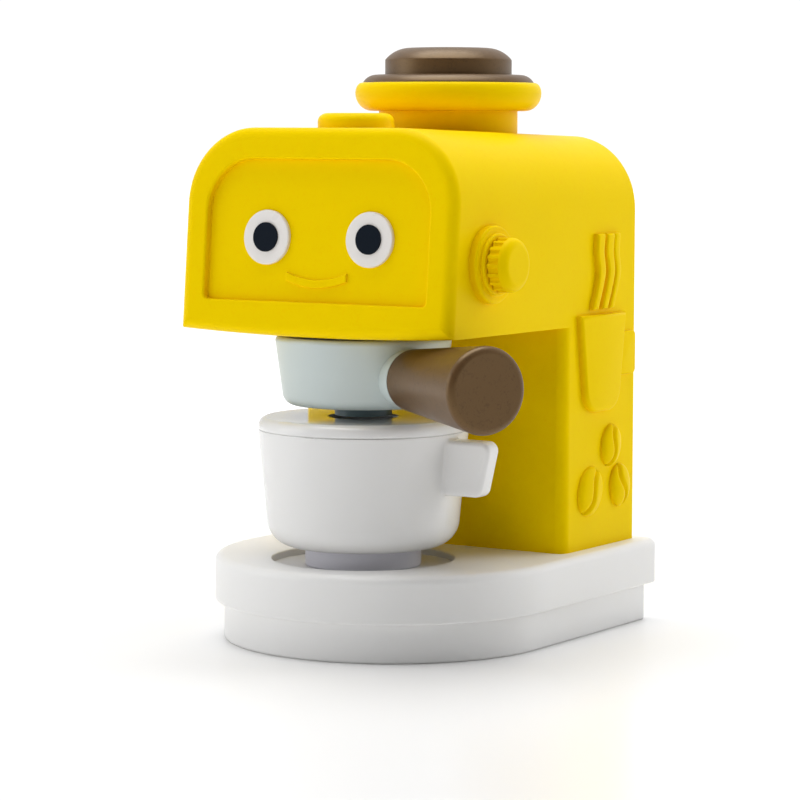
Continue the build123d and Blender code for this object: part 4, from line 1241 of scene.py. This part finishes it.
@dataclass
class Studio:
    """Pale floor, soft light and the camera."""

    floor_half: float = 6.0
    floor_colour: Colour = (0.95, 0.95, 0.95)
    floor_roughness: float = 0.25
    floor_specular: float = 0.3
    lit_near: float = 0.25
    lit_far: float = 0.6
    sky: float = 0.54
    sky_behind_camera: float = 0.06
    sky_mirrored: float = 0.85
    sky_mirrored_behind_camera: float = 0.15
    sky_seen: float = 1.05
    sky_turn: tuple[float, float] = (0.0, 0.9)
    camera_place: Point = (0.519378, -0.784836, 0.164607)
    camera_yaw: float = 32.789
    camera_pitch: float = 5.272
    camera_roll: float = 0.142
    lens: float = 133.85
    sensor: float = 36.0
    clip_start: float = 0.05
    lamps: tuple[Softbox, ...] = (
        Softbox("top_softbox", place=(-0.1, 0.1, 1.3), size=1.2, watts=13.5),
        Softbox("left_softbox", place=(-1.15, -0.8, 0.5), size=1.0, watts=3.6),
        Softbox("front_softbox", place=(-0.3, -1.6, 0.22), size=0.9, watts=4.0, mirrored=False),
        Softbox("right_softbox", place=(0.9, 1.1, 0.55), size=0.9, watts=6.5, mirrored=False),
        Softbox("back_softbox", place=(-0.45, 1.5, 0.6), size=1.2, watts=6.0, mirrored=False),
    )

    def build(self) -> None:
        """Lay the floor, set the light and place the camera."""
        self.lay_floor()
        self.light()
        self.place_camera()

    def lay_floor(self) -> None:
        """Lay a large pale sheet under the toy."""
        bpy.ops.mesh.primitive_plane_add(size=2 * self.floor_half, location=(0, 0, 0))
        sheet = bpy.context.object
        sheet.name = "studio_floor"
        made = bpy.data.materials.new("floor_white")
        made.use_nodes = True
        made.node_tree.nodes.clear()
        board = NodeBoard(made.node_tree)
        place = board.add("ShaderNodeTexCoord").outputs["Object"]
        distance = board.add("ShaderNodeVectorMath", {0: place}, operation="LENGTH").outputs["Value"]
        far = board.remap(distance, self.lit_near, self.lit_far)
        shader = board.add(
            "ShaderNodeBsdfPrincipled",
            {
                "Base Color": board.blend(far, (*self.floor_colour, 1), (0, 0, 0, 1)),
                "Emission Color": board.blend(far, (0, 0, 0, 1), (1, 1, 1, 1)),
                "Emission Strength": 1.0,
                "Roughness": self.floor_roughness,
                "Specular IOR Level": self.floor_specular,
            },
        )
        board.add("ShaderNodeOutputMaterial", {"Surface": shader.outputs["BSDF"]})
        sheet.data.materials.append(made)

    def light(self) -> None:
        """Light the toy from a bright tent, white to the camera."""
        world = bpy.data.worlds.new("tent")
        bpy.context.scene.world = world
        world.use_nodes = True
        board = NodeBoard(world.node_tree)
        world.node_tree.nodes.clear()
        path = board.add("ShaderNodeLightPath")
        way = board.add("ShaderNodeTexCoord").outputs["Generated"]
        towards = Vector(self.camera_place).normalized()
        along = board.add("ShaderNodeVectorMath", {0: way, 1: towards}, operation="DOT_PRODUCT")
        behind = board.remap(along.outputs["Value"], *self.sky_turn)
        tent, mirrored = (
            board.add(
                "ShaderNodeBackground",
                {
                    "Color": (1, 1, 1, 1),
                    "Strength": board.math("ADD", board.math("MULTIPLY", behind, back - front), front),
                },
            )
            for front, back in (
                (self.sky, self.sky_behind_camera),
                (self.sky_mirrored, self.sky_mirrored_behind_camera),
            )
        )
        white = board.add("ShaderNodeBackground", {"Color": (1, 1, 1, 1), "Strength": self.sky_seen})
        inside = board.add(
            "ShaderNodeMixShader",
            {0: path.outputs["Is Glossy Ray"], 1: tent.outputs[0], 2: mirrored.outputs[0]},
        )
        both = board.add(
            "ShaderNodeMixShader",
            {0: path.outputs["Is Camera Ray"], 1: inside.outputs[0], 2: white.outputs[0]},
        )
        board.add("ShaderNodeOutputWorld", {"Surface": both.outputs[0]})
        for lamp in self.lamps:
            lamp.build()
        bpy.context.scene.view_settings.view_transform = "Standard"

    def place_camera(self) -> None:
        """Stand the camera where the picture was taken."""
        turn = Matrix.Rotation(math.radians(self.camera_yaw), 3, "Z")
        turn = turn @ Matrix.Rotation(math.radians(90 - self.camera_pitch), 3, "X")
        turn = turn @ Matrix.Rotation(math.radians(self.camera_roll), 3, "Z")
        bpy.ops.object.camera_add(location=self.camera_place, rotation=turn.to_euler())
        camera = bpy.context.object
        camera.name = "picture_camera"
        camera.data.lens = self.lens
        camera.data.sensor_width = self.sensor
        camera.data.clip_start = self.clip_start
        bpy.context.scene.camera = camera


def main() -> None:
    """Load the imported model, dress it and set up its picture."""
    logging.basicConfig(level=logging.INFO, format="%(message)s")
    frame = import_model()
    build_skin_group()
    build_rub_group()
    build_painted_shade_group()
    materials = {slot: finish.material() for slot, finish in FINISHES.items()}
    for kind in (Base, Housing, SidePicture, Face, BrewGroup, Cup, Hopper, Button, Knob):
        assembly = kind()
        assembly.dress(frame["nodes"], materials)
        assembly.build(materials)
    Studio().build()


if __name__ == "__main__":
    main()
